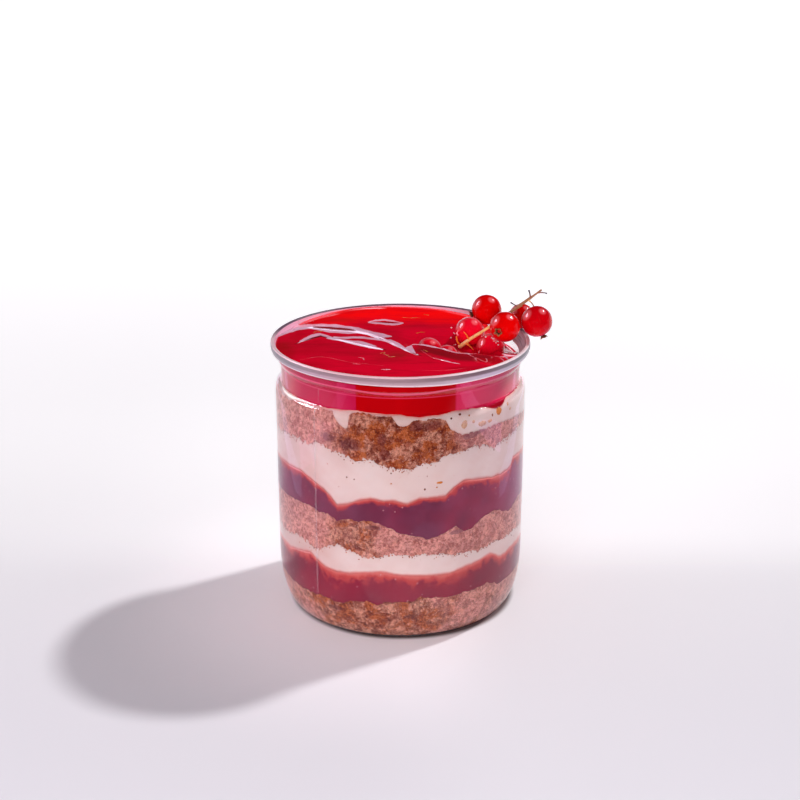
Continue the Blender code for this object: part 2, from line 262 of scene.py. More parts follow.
class Finish:
    # A material, its Principled shader and its nodes
    def __init__(self, name, fixed=None):
        self.material = bpy.data.materials.new(name)
        self.material.use_nodes = True
        self.tree = self.material.node_tree
        self.shader = self.tree.nodes["Principled BSDF"]
        self.exit = self.tree.nodes["Material Output"]
        for key, value in (fixed or {}).items():
            self.set(key, value)

    def feed(self, socket, value):
        if isinstance(value, Wire):
            self.tree.links.new(value.socket, socket)
        elif socket.type == "RGBA" and len(value) == 3:
            socket.default_value = (*value, 1.0)
        else:
            socket.default_value = value

    def set(self, key, value):
        # A value or a link for one of the shader's own sockets
        self.feed(self.shader.inputs[key], value)

    def node(self, kind, settings=None, values=None, output=0):
        # Any node: its settings first, then the values or links of its sockets
        made = self.tree.nodes.new(kind)
        for key, value in (settings or {}).items():
            if key == "stops":
                while len(made.color_ramp.elements) < len(value):
                    made.color_ramp.elements.new(1.0)
                for element, (place, colour) in zip(made.color_ramp.elements, value):
                    element.position = place
                    element.color = (*colour, 1.0)
            else:
                setattr(made, key, value)
        for key, value in (values or {}).items():
            self.feed(made.inputs[key], value)
        return Wire(self, made.outputs[output])

    def place(self):
        return self.node("ShaderNodeTexCoord", output="Object")

    def axis(self, number):
        # One object coordinate in metres: 0 for x, 1 for y, 2 for z
        return self.node("ShaderNodeSeparateXYZ", None, {0: self.place()}, number)

    def stretched(self, scale):
        # Object coordinates, each axis multiplied by its own number
        return self.node("ShaderNodeMapping", None, {"Vector": self.place(), "Scale": scale})

    def value(self, name):
        # A number that the mesh holds at each point
        return self.node("ShaderNodeAttribute", {"attribute_name": name}, output="Fac")

    def noise(self, size, detail=2.0, roughness=0.5, where=None, output=0):
        # Cloudy pattern from 0 to 1, size in millimetres
        return self.node("ShaderNodeTexNoise", None,
                         {"Vector": where or self.place(), "Scale": 1.0 / (size * mm),
                          "Detail": detail, "Roughness": roughness}, output)

    def cells(self, size, feature="F1", output="Distance", where=None):
        # Distance to the nearest of scattered points or to a cell's edge, or a colour for each
        return self.node("ShaderNodeTexVoronoi", {"feature": feature},
                         {"Vector": where or self.place(), "Scale": 1.0 / (size * mm)}, output)

    def mix(self, amount, first, second, blend="MIX"):
        # Colour mix: first where the amount is 0, second where it is 1
        return self.node("ShaderNodeMix", {"data_type": "RGBA", "blend_type": blend},
                         {0: amount, 6: first, 7: second}, 2)

    def bump(self, height, depth, strength=1.0):
        # depth is the real height in millimetres of a step from 0 to 1
        return self.node("ShaderNodeBump", None,
                         {"Height": height, "Distance": depth * mm, "Strength": strength})


# Shape of the jar, shared by the pieces that fill it

jar = {
    "bodyRadius": 37.0, "wall": 0.65, "floor": 0.9,
    "cornerWidth": 5.1, "cornerHeight": 16.8,
    "shoulderLow": 67.45, "shoulderHigh": 69.55, "neckRadius": 35.2,
    "neckHigh": 74.9, "stepRadius": 36.05, "stepHigh": 76.35,
    "flangeLow": 78.3, "flangeRadius": 37.3, "flangeHigh": 79.6,
    "seamAngle": -40.3, "seamHeight": 0.10, "seamWidth": 0.60,
    "columns": 300,
}
rim = {
    "radius": 38.1, "high": 81.2, "low": 78.6, "thick": 1.3,
    "skirtLow": 77.5, "skirtRadius": 34.85, "skirtThick": 0.35, "columns": 256,
}


def cornerArc(inset, floor, steps=22):
    # A quarter of a tall ellipse from the wall down to the base
    middle = jar["bodyRadius"] - inset - jar["cornerWidth"]
    turn = np.linspace(0.0, math.pi / 2.0, steps)
    return np.stack((middle + jar["cornerWidth"] * np.cos(turn),
                     jar["cornerHeight"] - (jar["cornerHeight"] - floor) * np.sin(turn)), -1)


def wallInside(z):
    # Radius of the inner face of the jar at a height
    arc = cornerArc(jar["wall"], jar["floor"], 40)[::-1]
    body, neck = jar["bodyRadius"] - jar["wall"], jar["neckRadius"] - jar["wall"]
    low = jar["shoulderLow"]
    heights = np.concatenate((arc[:, 1], (low, low + 0.6, low + 1.2, low + 1.9, jar["shoulderHigh"],
                                          jar["neckHigh"] - 0.1, jar["stepHigh"] - 0.1,
                                          jar["flangeLow"], jar["flangeLow"] + 0.4,
                                          jar["flangeHigh"])))
    radii = np.concatenate((arc[:, 0], (body, body - 0.12, body - 0.48, body - 1.25, neck,
                                        neck, jar["stepRadius"] - 0.6, jar["stepRadius"] - 0.55,
                                        jar["flangeRadius"] - 0.5, jar["flangeRadius"] - 0.5)))
    return np.interp(z, heights, radii)


def alongWall(degrees):
    # Length in millimetres of an arc on the outside of the wall
    return degrees * math.radians(1.0) * jar["bodyRadius"]


def makeJar():
    # Turned wall: down the outside, across the base and up the inside. The mould seam is a
    # low bell-shaped ridge along the outside at one angle.
    inner, neckIn = jar["bodyRadius"] - jar["wall"], jar["neckRadius"] - jar["wall"]
    low, high, step = jar["shoulderLow"], jar["neckHigh"], jar["stepRadius"]
    outside = roundedProfile((
        (jar["flangeRadius"] - 0.5, jar["flangeHigh"], 0), (jar["flangeRadius"], jar["flangeHigh"], 0.15),
        (jar["flangeRadius"], jar["flangeLow"] + 0.4, 0.2), (step + 0.02, jar["flangeLow"], 0.15),
        (step, jar["stepHigh"], 0.10), (jar["neckRadius"], high, 0.10), (jar["neckRadius"], low + 2.05, 0.3),
        (jar["bodyRadius"] - 0.45, low + 1.35, 0.9),
        (jar["bodyRadius"], low - 0.6, 1.4), (jar["bodyRadius"], jar["cornerHeight"] + 0.1, 0)))
    inside = roundedProfile((
        (inner, jar["cornerHeight"] + 0.1, 0), (inner, low - 0.4, 1.2), (inner - 0.45, low + 1.25, 0.8),
        (neckIn, low + 2.0, 0.3), (neckIn, high - 0.1, 0.2), (step - 0.6, jar["stepHigh"] - 0.1, 0.2),
        (step - 0.55, jar["flangeLow"], 0.2), (jar["flangeRadius"] - 0.5, jar["flangeLow"] + 0.4, 0.2),
        (jar["flangeRadius"] - 0.5, jar["flangeHigh"], 0)))
    base = np.linspace(0.95, 0.05, 6)[:, None]
    lower = cornerArc(0.0, 0.0)
    upper = cornerArc(jar["wall"], jar["floor"])[::-1]
    profile = np.concatenate((outside, lower, lower[-1] * np.hstack((base, base * 0.0)),
                              upper[0] * np.hstack((base[::-1], base * 0.0 + 1.0)), upper, inside[:-1]))
    seam = jar["seamAngle"] + np.linspace(-1.2, 1.2, 25)
    turns = np.linspace(-180.0, 180.0, jar["columns"], endpoint=False)
    turns = np.sort(np.concatenate((turns[np.abs(turns - jar["seamAngle"]) > 1.3], seam)))
    away = alongWall(turns - jar["seamAngle"]) / jar["seamWidth"]
    ridge = jar["seamHeight"] * hump(away)[None, :] * (np.arange(len(profile)) < len(outside) + 14)[:, None]
    ridge = ridge * (profile[:, 1] > 6.0)[:, None] * (profile[:, 1] < low)[:, None]
    grid = around(profile[:, :1] + ridge, turns[None, :], profile[:, 1:])
    grid = np.concatenate((grid, grid[:1]))
    return gridShape(grid)


def jarFinish():
    # Clear plastic. Rays to a lamp pass straight through, so that the layers behind it are lit.
    finish = Finish("clearPlastic", {"Transmission Weight": 1.0, "IOR": 1.47})
    smear = finish.noise(9.0, 3.0)
    finish.set("Base Color", finish.mix(smear, (0.97, 0.975, 0.985), (0.995, 0.99, 1.0)))
    finish.set("Roughness", smear.between(0.55, 0.9) * 0.015)
    finish.set("Normal", finish.bump(finish.noise(14.0, 1.0), 0.03, 0.10))
    through = finish.node("ShaderNodeBsdfTransparent", None, {"Color": (0.96, 0.96, 0.97)})
    lamp = finish.node("ShaderNodeLightPath", output="Is Shadow Ray")
    shown = finish.node("ShaderNodeMixShader", None,
                        {0: lamp, 1: Wire(finish, finish.shader.outputs[0]), 2: through})
    finish.feed(finish.exit.inputs["Surface"], shown)
    return finish


def seamShapes():
    # The mould seam: flat oval bars a tenth of a millimetre proud of the wall, one down the body
    # and one down the neck. Each thins towards its ends.
    shapes = []
    arc = cornerArc(0.0, 0.0)[::-1]
    turn = np.linspace(0.0, fullTurn, 16, endpoint=False)[None]
    for low, high, half in ((jar["cornerHeight"] - 6.0, jar["shoulderLow"] + 1.2, 0.50),
                            (jar["shoulderHigh"] + 0.6, jar["neckHigh"] - 0.1, 0.24)):
        step = np.linspace(0.0, 1.0, 70)[:, None]
        height = low + (high - low) * step
        radius = np.interp(height, np.append(arc[:, 1], (67.0, 68.8, 69.6, 90.0)),
                           np.append(arc[:, 0], (37.0, 36.62, 35.2, 35.2)))
        wide = half * np.minimum(1.0, 0.25 + 9.0 * step * (1.0 - step)) * (1.0 + 0.12 * np.sin(0.7 * height))
        angle = jar["seamAngle"] + np.degrees(wide * np.cos(turn) / radius)
        grid = around(radius + 0.03 + 0.07 * np.sin(turn), angle, height)
        shapes.append(gridShape(grid, capFirst=True, capLast=True, along=height,
                                aside=np.abs(np.cos(turn))))
    return shapes


def seamFinish():
    # Pale clear plastic, fading to both sides and pinker on the neck; the lighter line stands partly for the
    # seam's own highlight, and the top of the body carries a nearly white painted glint that glows
    finish = Finish("seamPlastic", {"Roughness": 0.6, "Specular IOR Level": 0.1})
    along, aside = finish.value("along"), finish.value("aside")
    top = along.between(67.6, 68.3) * (1.0 - along.between(69.5, 70.0))
    cloud = finish.noise(6.0, 3.0)
    tone = finish.mix(along.between(69.0, 70.0), (1.0, 0.86, 0.90), (1.0, 0.30, 0.52))
    finish.set("Base Color", finish.mix(cloud * 0.3 * (1.0 - top), tone, (0.95, 0.60, 0.66)))
    # Painted glint: the top of the body glows nearly white
    finish.set("Emission Color", finish.mix(top, (0.0, 0.0, 0.0), (0.45, 0.42, 0.40)))
    finish.set("Emission Strength", 1.0)
    finish.set("Alpha", (1.0 - aside.between(0.15, 1.0)) * (0.03 + cloud * 0.09) + top * 0.28)
    return finish


def makeRim():
    # Turned seam: a rounded crest, a slightly bellied outer face, a rolled lower edge and
    # the skirt that slopes in below it. The radius wavers by a few hundredths.
    inner, outer = rim["radius"] - rim["thick"], rim["radius"]
    profile = roundedProfile((
        (outer - 0.62, rim["high"], 0.0), (outer - 0.22, rim["high"] - 0.02, 0.2),
        (outer - 0.02, rim["high"] - 0.55, 0.4), (outer, rim["low"] + 1.15, 0.5),
        (outer - 0.22, rim["low"] + 0.35, 0.45), (outer - 0.42, rim["low"] + 0.05, 0.2),
        (outer - 0.7, rim["low"], 0.2), (inner - 0.1, rim["low"] + 0.1, 0.2),
        (rim["skirtRadius"] + rim["skirtThick"] + 0.1, rim["low"] - 0.65, 0.3),
        (rim["skirtRadius"] + rim["skirtThick"], rim["skirtLow"], 0.12),
        (rim["skirtRadius"], rim["skirtLow"], 0.12), (rim["skirtRadius"] + 0.15, rim["low"] - 0.5, 0.5),
        (inner - 0.15, rim["high"] - 1.3, 0.8),
        (inner + 0.12, rim["high"] - 0.1, 0.4), (outer - 0.7, rim["high"], 0.25),
        (outer - 0.66, rim["high"], 0.0)), 7)
    turns = np.linspace(-180.0, 180.0, rim["columns"], endpoint=False)
    grid = around(profile[:, :1], turns[None, :], profile[:, 1:])
    waver = softWaves(grid, 16.0, 3, 2) * 0.03
    grid[..., :2] *= 1.0 + (waver - np.abs(waver).max())[..., None] / 38.0
    lift = np.broadcast_to(profile[:, 1:] - rim["low"], grid.shape[:2])
    # The rolled edge sags a little at the front right
    sag = np.interp(turns, (-180, -28, 0, 20, 60, 100, 180), (0.0, 0.0, 0.25, 0.45, 0.3, 0.0, 0.0))
    grid[..., 2] -= sag[None] * hump((lift - 0.1) / 1.1) * ease((profile[:, :1] - outer + 1.6) / 0.8)
    inner = np.broadcast_to(ease((outer - 0.7 - profile[:, :1]) / 0.3), grid.shape[:2])
    return gridShape(np.concatenate((grid, grid[:1])), lift=np.concatenate((lift, lift[:1])),
                     inner=np.concatenate((inner, inner[:1])))


def rimFinish():
    # Satin metal in bands of painted light: a painted highlight on the crest, painted shade in the groove
    # under it, a mid tone and a painted highlight on the foot. The front is lighter as a painted reflection
    # and the far left darker as painted shade, the inside carries a painted pink reflection, and behind the
    # crest lies a painted dark reflection.
    finish = Finish("satinRim")
    lines = finish.noise(1.0, 4.0, 0.6, finish.stretched((0.05, 0.05, 4.0)))
    scuff = finish.noise(1.1, 4.0, 0.65)
    across = finish.axis(0)
    back = finish.axis(1)
    lift, inner = finish.value("lift"), finish.value("inner")
    # Height on the ring, made uneven, that places the painted bands
    bandLift = lift + finish.noise(3.5, 3.0, 0.6) * 0.20
    front = 1.0 - back.between(-0.038, -0.016)
    side = across.between(-0.002, 0.022)
    tone = finish.mix(lines, (0.42, 0.37, 0.41), (0.58, 0.52, 0.56))
    # Painted reflection: the front is lighter, pinker at the left
    tone = finish.mix(front * 0.8, tone, finish.mix(side, (0.73, 0.46, 0.52), (0.74, 0.63, 0.69)))
    # Painted shade at the far left
    tone = finish.mix((1.0 - across.between(-0.036, -0.024)) * 0.55, tone, (0.26, 0.20, 0.22))
    # Painted shade in the groove, stronger towards the right
    groove = bandLift.between(1.10, 1.60) * (1.0 - bandLift.between(2.22, 2.38)) * (0.45 + side * 0.45)
    tone = finish.mix(groove, tone, finish.mix(front, (0.14, 0.13, 0.15), (0.20, 0.10, 0.12)))
    crest = bandLift.between(2.28, 2.44)
    foot = 1.0 - bandLift.between(0.35, 0.75)
    # Painted highlight on the foot
    tone = finish.mix(foot * 0.9, tone, (1.0, 0.86, 0.90))
    # Painted highlight on the crest, whitest at the right, and a painted dark reflection on the crest behind
    white = across.between(0.008, 0.022) * 0.8 + (1.0 - across.between(-0.030, -0.016)) * 0.12
    crestTone = finish.mix(white, (0.84, 0.53, 0.57), (0.98, 0.88, 0.90))
    crestTone = finish.mix(back.between(-0.004, 0.010), crestTone, (0.14, 0.07, 0.11))
    tone = finish.mix(crest, tone, crestTone)
    # Painted reflection on the inside: pink at the left, duller and streaked at the right
    pink = finish.mix(across.between(0.014, 0.030), (1.0, 0.50, 0.66), (0.50, 0.33, 0.36))
    pink = finish.mix(lines.between(0.45, 0.70) * across.between(0.014, 0.030), pink, (0.24, 0.13, 0.16))
    tone = finish.mix(inner * (1.0 - crest), tone, pink)
    finish.set("Base Color", finish.mix(scuff.between(0.58, 0.75) * 0.5, tone, (0.36, 0.29, 0.32)))
    finish.set("Metallic", (1.0 - crest) * (1.0 - inner) * (1.0 - groove * 0.5) * 0.50 + 0.07)
    finish.set("Roughness", 0.27 + scuff * 0.2)
    finish.set("Normal", finish.bump(scuff, 0.03, 0.5))
    return finish


# Layers: the top edge of each on the jar wall as (angle, height) read from the front

edges = {
    "crumb_base": ((-80, 11.9), (-68, 11.9), (-61, 11.2), (-43, 11.2), (-36, 11.5), (-31, 10.9),
                   (-27, 11.0), (-23, 12.4), (-15, 13.2), (-10, 12.2), (-6, 13.5), (6, 13.5),
                   (9, 15.0), (16, 14.2), (23, 13.8), (29, 14.3), (37, 14.1), (44, 14.6),
                   (52, 12.4), (61, 12.5), (71, 12.7), (80, 12.6)),
    "jam_lower": ((-80, 22.1), (-62, 21.8), (-53, 23.0), (-45, 24.0), (-40, 22.4), (-36, 21.2),
                  (-30, 20.7), (-23, 20.9), (-14, 22.2), (-9, 22.6), (-4, 22.2), (0, 21.9),
                  (12, 21.3), (22, 21.0), (29, 22.0), (37, 22.6), (45, 23.6), (53, 20.8),
                  (64, 21.6), (80, 21.4)),
    "cream_lower": ((-80, 26.2), (-65, 26.2), (-55, 27.8), (-48, 27.4), (-42, 26.1), (-40, 26.4),
                    (-34, 28.0), (-29, 29.6), (-25, 28.5), (-19, 27.7), (-16, 26.3), (-10, 27.3),
                    (-4, 28.6), (1, 28.4), (8, 27.8), (16, 28.0), (25, 27.1), (34, 26.6),
                    (42, 26.2), (45, 27.3), (54, 26.4), (63, 26.8), (80, 25.2)),
    "crumb_middle": ((-80, 37.9), (-61, 38.4), (-44, 39.0), (-39, 37.9), (-34, 38.4), (-29, 36.7),
                     (-24, 38.1), (-19, 37.6), (-14, 38.3), (-10, 37.7), (-6, 36.8), (0, 34.9),
                     (7, 34.0), (12, 32.7), (15, 33.0), (22, 34.6), (25, 35.8), (29, 33.7),
                     (33, 33.6), (39, 36.0), (47, 37.0), (59, 34.0), (69, 35.9), (80, 35.9)),
    "jam_upper": ((-80, 47.8), (-60, 48.2), (-50, 48.5), (-45, 47.4), (-41, 46.6), (-36, 45.3),
                  (-32, 43.4), (-29, 41.4), (-24, 42.2), (-18, 44.0), (-13, 45.0), (-7, 44.3),
                  (-3, 44.7), (3, 43.6), (8, 45.1), (20, 45.1), (24, 47.4), (29, 49.0),
                  (36, 48.3), (46, 47.3), (54, 47.2), (60, 47.9), (62, 50.1), (80, 49.5)),
    "cream_upper": ((-80, 56.0), (-62, 57.8), (-52, 58.4), (-44, 57.6), (-40, 59.5), (-33, 57.8),
                    (-26, 57.5), (-20, 55.7), (-14, 56.7), (-6, 54.9), (1, 54.5), (4, 54.2),
                    (8, 54.9), (16, 56.1), (22, 58.0), (29, 58.0), (34, 58.7), (38, 58.6),
                    (46, 56.3), (53, 57.9), (63, 58.3), (80, 58.3)),
    "crumb_top": ((-80, 68.6), (-68, 68.3), (-58, 68.2), (-52, 68.8), (-42, 68.9), (-35, 69.0),
                  (-31, 68.8), (-29.5, 67.6), (-27.5, 65.9), (-25, 65.2), (-23.3, 65.1),
                  (-22.8, 68.8), (-22, 69.3), (-16, 69.5), (-9, 69.2), (-4, 69.1),
                  (-1, 67.1), (1, 66.5), (4, 67.5), (6, 68.4), (17, 68.3), (20, 67.6), (22, 65.0),
                  (28, 62.8), (35, 63.0),
                  (49, 63.2), (57, 62.7), (66, 62.3), (80, 61.2)),
    "cream_cap": ((-80, 69.6), (-67, 69.5), (-52, 69.4), (-42, 69.3), (-35, 69.4), (-28, 69.7),
                  (-20, 70.1), (1, 69.5), (8, 69.0), (17, 69.1), (25, 69.6), (35, 69.3), (41, 69.0),
                  (45, 68.2), (49, 67.6), (53, 68.4), (57, 69.2), (71, 69.4), (80, 69.5)),
}
# How far each layer's side reaches into the wall, how ragged its top edge is (height of the
# waves, length of the waves), and where it is smeared, as (angle, share): crumbs with cream,
# jam with bright juice, cream with a pinker tone
layers = {
    "crumb_base": {"kind": "crumb", "inset": 0.22, "ragged": (0.28, 2.0), "rows": 44,
                   "smear": ((-80, 0.6), (-50, 0.5), (-36, 0.15), (5, 0.0), (12, 0.1), (20, 0.5),
                             (48, 0.6), (80, 0.8))},
    "jam_lower": {"kind": "jam", "inset": 0.12, "ragged": (0.10, 3.5), "rows": 24,
                  "smear": ((-80, 0.4), (-60, 0.7), (-35, 0.95), (-15, 0.8), (5, 0.9), (20, 0.9),
                            (50, 0.6), (80, 0.4))},
    "cream_lower": {"kind": "cream", "inset": 0.10, "ragged": (0.60, 1.6), "rows": 16,
                    "smear": ((-80, 1.0), (-45, 0.9), (-20, 0.1), (20, 0.0), (40, 0.2), (60, 0.4),
                              (80, 0.6))},
    "crumb_middle": {"kind": "crumb", "inset": 0.22, "ragged": (0.24, 2.2), "rows": 40,
                     "smear": ((-80, 1.0), (-38, 0.9), (-28, 0.25), (-14, 0.3), (-8, 0.7), (30, 0.75),
                               (80, 1.0))},
    "jam_upper": {"kind": "jam", "inset": 0.12, "ragged": (0.10, 3.5), "rows": 24,
                  "smear": ((-80, 0.4), (-40, 0.35), (-10, 0.15), (12, 0.1), (22, 0.7), (58, 0.9),
                            (80, 0.7))},
    "cream_upper": {"kind": "cream", "inset": 0.10, "ragged": (0.66, 1.6), "rows": 24,
                    "smear": ((-80, 0.9), (-45, 0.7), (-20, 0.1), (20, 0.0), (45, 0.2), (80, 0.5))},
    "crumb_top": {"kind": "crumb", "inset": 0.22, "ragged": (0.30, 1.8), "rows": 44,
                  "smear": ((-80, 1.0), (-36, 0.9), (-29, 0.5), (-20, 0.0), (18, 0.0), (26, 0.35),
                            (34, 0.8), (80, 1.0))},
    "cream_cap": {"kind": "cream", "inset": 0.14, "ragged": (0.10, 3.0), "rows": 14,
                  "smear": ((-80, 0.6), (-30, 0.5), (0, 0.3), (20, 0.2), (80, 0.3))},
}
layerColumns = 900
# Edges where crumbs meet cream or jam step up and down from grain to grain
grainEdges = ("cream_lower", "cream_upper", "crumb_top")
turns = np.linspace(-180.0, 180.0, layerColumns, endpoint=False)


def edgeHeights(name):
    # The read heights in front; behind, the front's waves from the other side at half their
    # size with a slow wave of their own, as in the solids; seeded ragged waves over both
    angle, height = np.array(edges[name], float).T
    middle = np.interp(np.arange(-80, 81, 10), angle, height).mean()
    back = np.where(np.abs(turns) > 90.0, -np.cos(np.radians(turns)), 0.0)
    seen = np.where(np.abs(turns) > 90.0, np.copysign(180.0 - np.abs(turns), turns), turns)
    level = np.interp(seen, angle, height)
    slow = 0.8 * np.sin(np.radians(3.0 * seen) + 0.7 * len(name))
    level = middle + (level - middle) * (1.0 - 0.5 * back) + slow * back
    high, long = layers[name]["ragged"]
    ring = around(jar["bodyRadius"], turns, 0.0)
    waves = softWaves(ring, long, len(name) * 7, 4)
    if name in grainEdges:
        waves = waves * 0.6 + 1.2 * (nearestGrain(ring, 0.9, len(name) * 1.7)[1] - 0.5)
    return level + high * waves, middle


# Rings of a layer's two ends, as shares of the radius, and how their height runs to the middle
endShares = (0.97, 0.88, 0.7, 0.45, 0.2)
endPower = 1.6


def layerShape(name, lower, upper):
    # A drum between two edges. Its side follows the inside of the wall and reaches just into
    # it; its ends fall or rise to the mean height by a power of the share of the radius.
    layer = layers[name]
    share = np.linspace(0.0, 1.0, layer["rows"])[:, None]
    (low, lowMiddle), (high, highMiddle) = lower, upper
    height = low[None] + (high - low)[None] * share
    radius = wallInside(height) + layer["inset"]
    side = around(radius, turns[None], height)
    smearAngle, smearShare = np.array(layer["smear"]).T
    seen = np.where(np.abs(turns) > 90.0, np.copysign(80.0, turns), turns)
    smear = np.interp(seen, smearAngle, smearShare)[None]
    smear = np.clip(smear + 0.22 * softWaves(side, 9.0, len(name) * 3, 3), 0.0, 1.0)
    values = {"fromTop": high[None] - height, "fromBottom": height - low[None], "smear": smear}
    if layer["kind"] == "crumb":
        side, values = crumbRelief(side, values, name)
        values["stain"] = stainShare(name, height)
    ends = {}
    inner = np.array(endShares)[:, None]
    for key, edge, middle, row in (("low", low, lowMiddle, 0), ("high", high, highMiddle, -1)):
        rise = (middle + (edge[None] - middle) * inner ** endPower) - edge[None]
        ends[key] = side[row][None] * np.stack((inner, inner, inner * 0.0 + 1.0), -1)
        ends[key][..., 2] += rise
    grid = np.concatenate((ends["low"][::-1], side, ends["high"]))
    full, more = {}, len(endShares)
    for key, value in values.items():
        value = np.broadcast_to(value, side.shape[:2])
        full[key] = np.concatenate((np.repeat(value[:1], more, 0), value,
                                    np.repeat(value[-1:], more, 0)))
    return gridShape(grid, capFirst=True, capLast=True, **full)


# Places where berry juice soaked the crumbs: angle, height, half width, half height
stains = {
    "crumb_top": ((-33.3, 61.6, 2.6, 1.5), (31.4, 62.1, 3.2, 1.1), (38.0, 63.2, 2.6, 0.9),
                  (-22.0, 60.6, 3.4, 2.0), (-8.0, 62.8, 1.6, 2.2), (-6.5, 58.3, 1.8, 2.0),
                  (6.5, 66.6, 1.8, 1.8), (14.5, 66.6, 2.8, 1.6)),
    "crumb_middle": ((-12.0, 36.2, 2.4, 0.8), (26.0, 33.8, 2.6, 0.8)),
    "crumb_base": ((-30.0, 9.0, 3.0, 1.0),),
}


def stainShare(name, height):
    # Sum of soft ovals round the stained places
    total = np.zeros(np.broadcast_shapes(height.shape, turns[None].shape))
    for angle, level, wide, high in stains[name]:
        away = alongWall(turns[None] - angle) / wide
        total += np.exp(-away ** 2 - ((height - level) / high) ** 2)
    return np.clip(total, 0.0, 1.0)


def crumbRelief(side, values, name):
    # Grains of three sizes stand out where a cell's middle is near and sink between cells.
    # Their depth and a tone for each grain go to the material.
    seed = len(name) * 3.7
    bent = side + 0.35 * np.stack([softWaves(side, 2.2, k, 2) for k in (1, 2, 3)], -1)
    clodGap, clodTone = nearestGrain(bent, 2.6, seed)
    grainGap, grainTone = nearestGrain(bent, 1.05, seed + 5.0)
    fineGap, fineTone = nearestGrain(side, 0.5, seed + 9.0)
    depth = (0.34 * (1.0 - ease(clodGap / 0.22)) + 0.40 * (1.0 - ease(grainGap / 0.30))
             + 0.26 * (1.0 - ease(fineGap / 0.4)))
    wall = softWaves(side, 7.0, int(seed), 2)
    sunk = (0.20 * depth + 0.06 * ease((wall - 0.2) / 0.5)) * ease((side[..., 2] - 1.5) / 5.5)
    reach = np.linalg.norm(side[..., :2], axis=-1, keepdims=True)
    side = side * np.concatenate((1.0 - np.repeat(sunk[..., None], 2, -1) / reach,
                                  np.ones_like(reach)), -1)
    values = dict(values, depth=depth, tone=0.45 * clodTone + 0.35 * grainTone + 0.20 * fineTone)
    return side, values


def crumbFinish():
    # Baked biscuit crumbs: fine grains in orange, tan and brown clumps with painted shade in the hollows
    # between them, bright specks as painted glints, a pinkish veil of cream where they are smeared, and
    # ragged juice stains over both
    finish = Finish("bakedCrumb", {"Specular IOR Level": 0.12})
    depth, tone, smear = finish.value("depth"), finish.value("tone"), finish.value("smear")
    patch = finish.noise(5.0, 4.0, 0.6)
    other = finish.noise(3.4, 4.0, 0.62, finish.stretched((1.0, 1.3, 1.1)))
    speck = finish.noise(0.42, 3.0, 0.7)
    grains = finish.noise(1.0, 3.0, 0.6)
    # Single grains are cells whose straight edges are bent by up to 0.6 mm
    shift = finish.node("ShaderNodeVectorMath", {"operation": "SCALE"},
                        {0: finish.noise(2.0 / 3.0, output="Color"), "Scale": 0.6 * mm}, "Vector")
    bent = finish.node("ShaderNodeVectorMath", {"operation": "ADD"},
                       {0: finish.place(), 1: shift}, "Vector")
    single = finish.cells(0.8, output="Color", where=bent).between(0.1, 0.9)
    edge = finish.cells(0.8, "DISTANCE_TO_EDGE", where=bent)
    gap = 1.0 - edge.between(0.02, 0.20)
    clump = finish.noise(2.6, 4.0, 0.65)
    light = (tone * 0.5 + single * 0.55 + grains * 0.9 + speck * 1.3 + clump * 1.0 - 1.56).between(0.0, 1.0)
    orange = finish.mix(light, (0.30, 0.045, 0.015), (0.66, 0.175, 0.062))
    tan = finish.mix(light, (0.36, 0.080, 0.048), (0.86, 0.41, 0.29))
    brown = finish.mix(light, (0.14, 0.022, 0.016), (0.46, 0.125, 0.075))
    grain = finish.mix(patch.between(0.45, 0.55), orange, tan)
    grain = finish.mix(other.between(0.50, 0.60) * 0.85, grain, brown)
    # Painted shade: the hollows between grains turn dark
    hollow = ((depth - 0.5) * 0.6 + gap * 0.35 + (0.5 - grains) * 0.8
              + (0.5 - clump) * 1.7 - 0.06).between(0.10, 0.85)
    baked = finish.mix(hollow * 0.8, grain, (0.080, 0.014, 0.015))
    # Painted glints: bright specks on some grains
    baked = finish.mix(speck.between(0.66, 0.74) * grains.between(0.4, 0.6) * 0.6, baked, (0.90, 0.58, 0.44))
    creamy = finish.mix(light, (0.56, 0.170, 0.148), (0.97, 0.475, 0.415))
    creamy = finish.mix(other.between(0.48, 0.60) * 0.35, creamy, (0.46, 0.165, 0.155))
    creamy = finish.mix(hollow * 0.38, creamy, (0.27, 0.072, 0.078))
    veil = smear.between(0.1, 0.8) * (0.70 + speck * 0.2 + clump * 0.3)
    shade = finish.mix(veil.between(0.0, 1.0), baked, creamy)
    # More bright specks as painted glints
    shade = finish.mix(speck.between(0.60, 0.68) * 0.45, shade, (0.93, 0.62, 0.54))
    shade = finish.mix((1.0 - speck.between(0.33, 0.41)) * 0.45, shade, (0.20, 0.050, 0.040))
    juice = finish.mix(light, (0.105, 0.016, 0.022), (0.30, 0.080, 0.080))
    juice = finish.mix(smear.between(0.3, 0.9), juice, (0.38, 0.140, 0.175))
    soaked = (finish.value("stain") + (clump - 0.5) * 1.3 + (grains - 0.5) * 0.5).between(0.35, 0.65)
    finish.set("Base Color", finish.mix(soaked * 0.7, shade, juice))
    finish.set("Roughness", 0.55 + speck * 0.35)
    finish.set("Normal", finish.bump(single * 0.4 - gap * 0.5 + grains * 0.5 + speck * 0.6, 0.26, 1.0))
    return finish


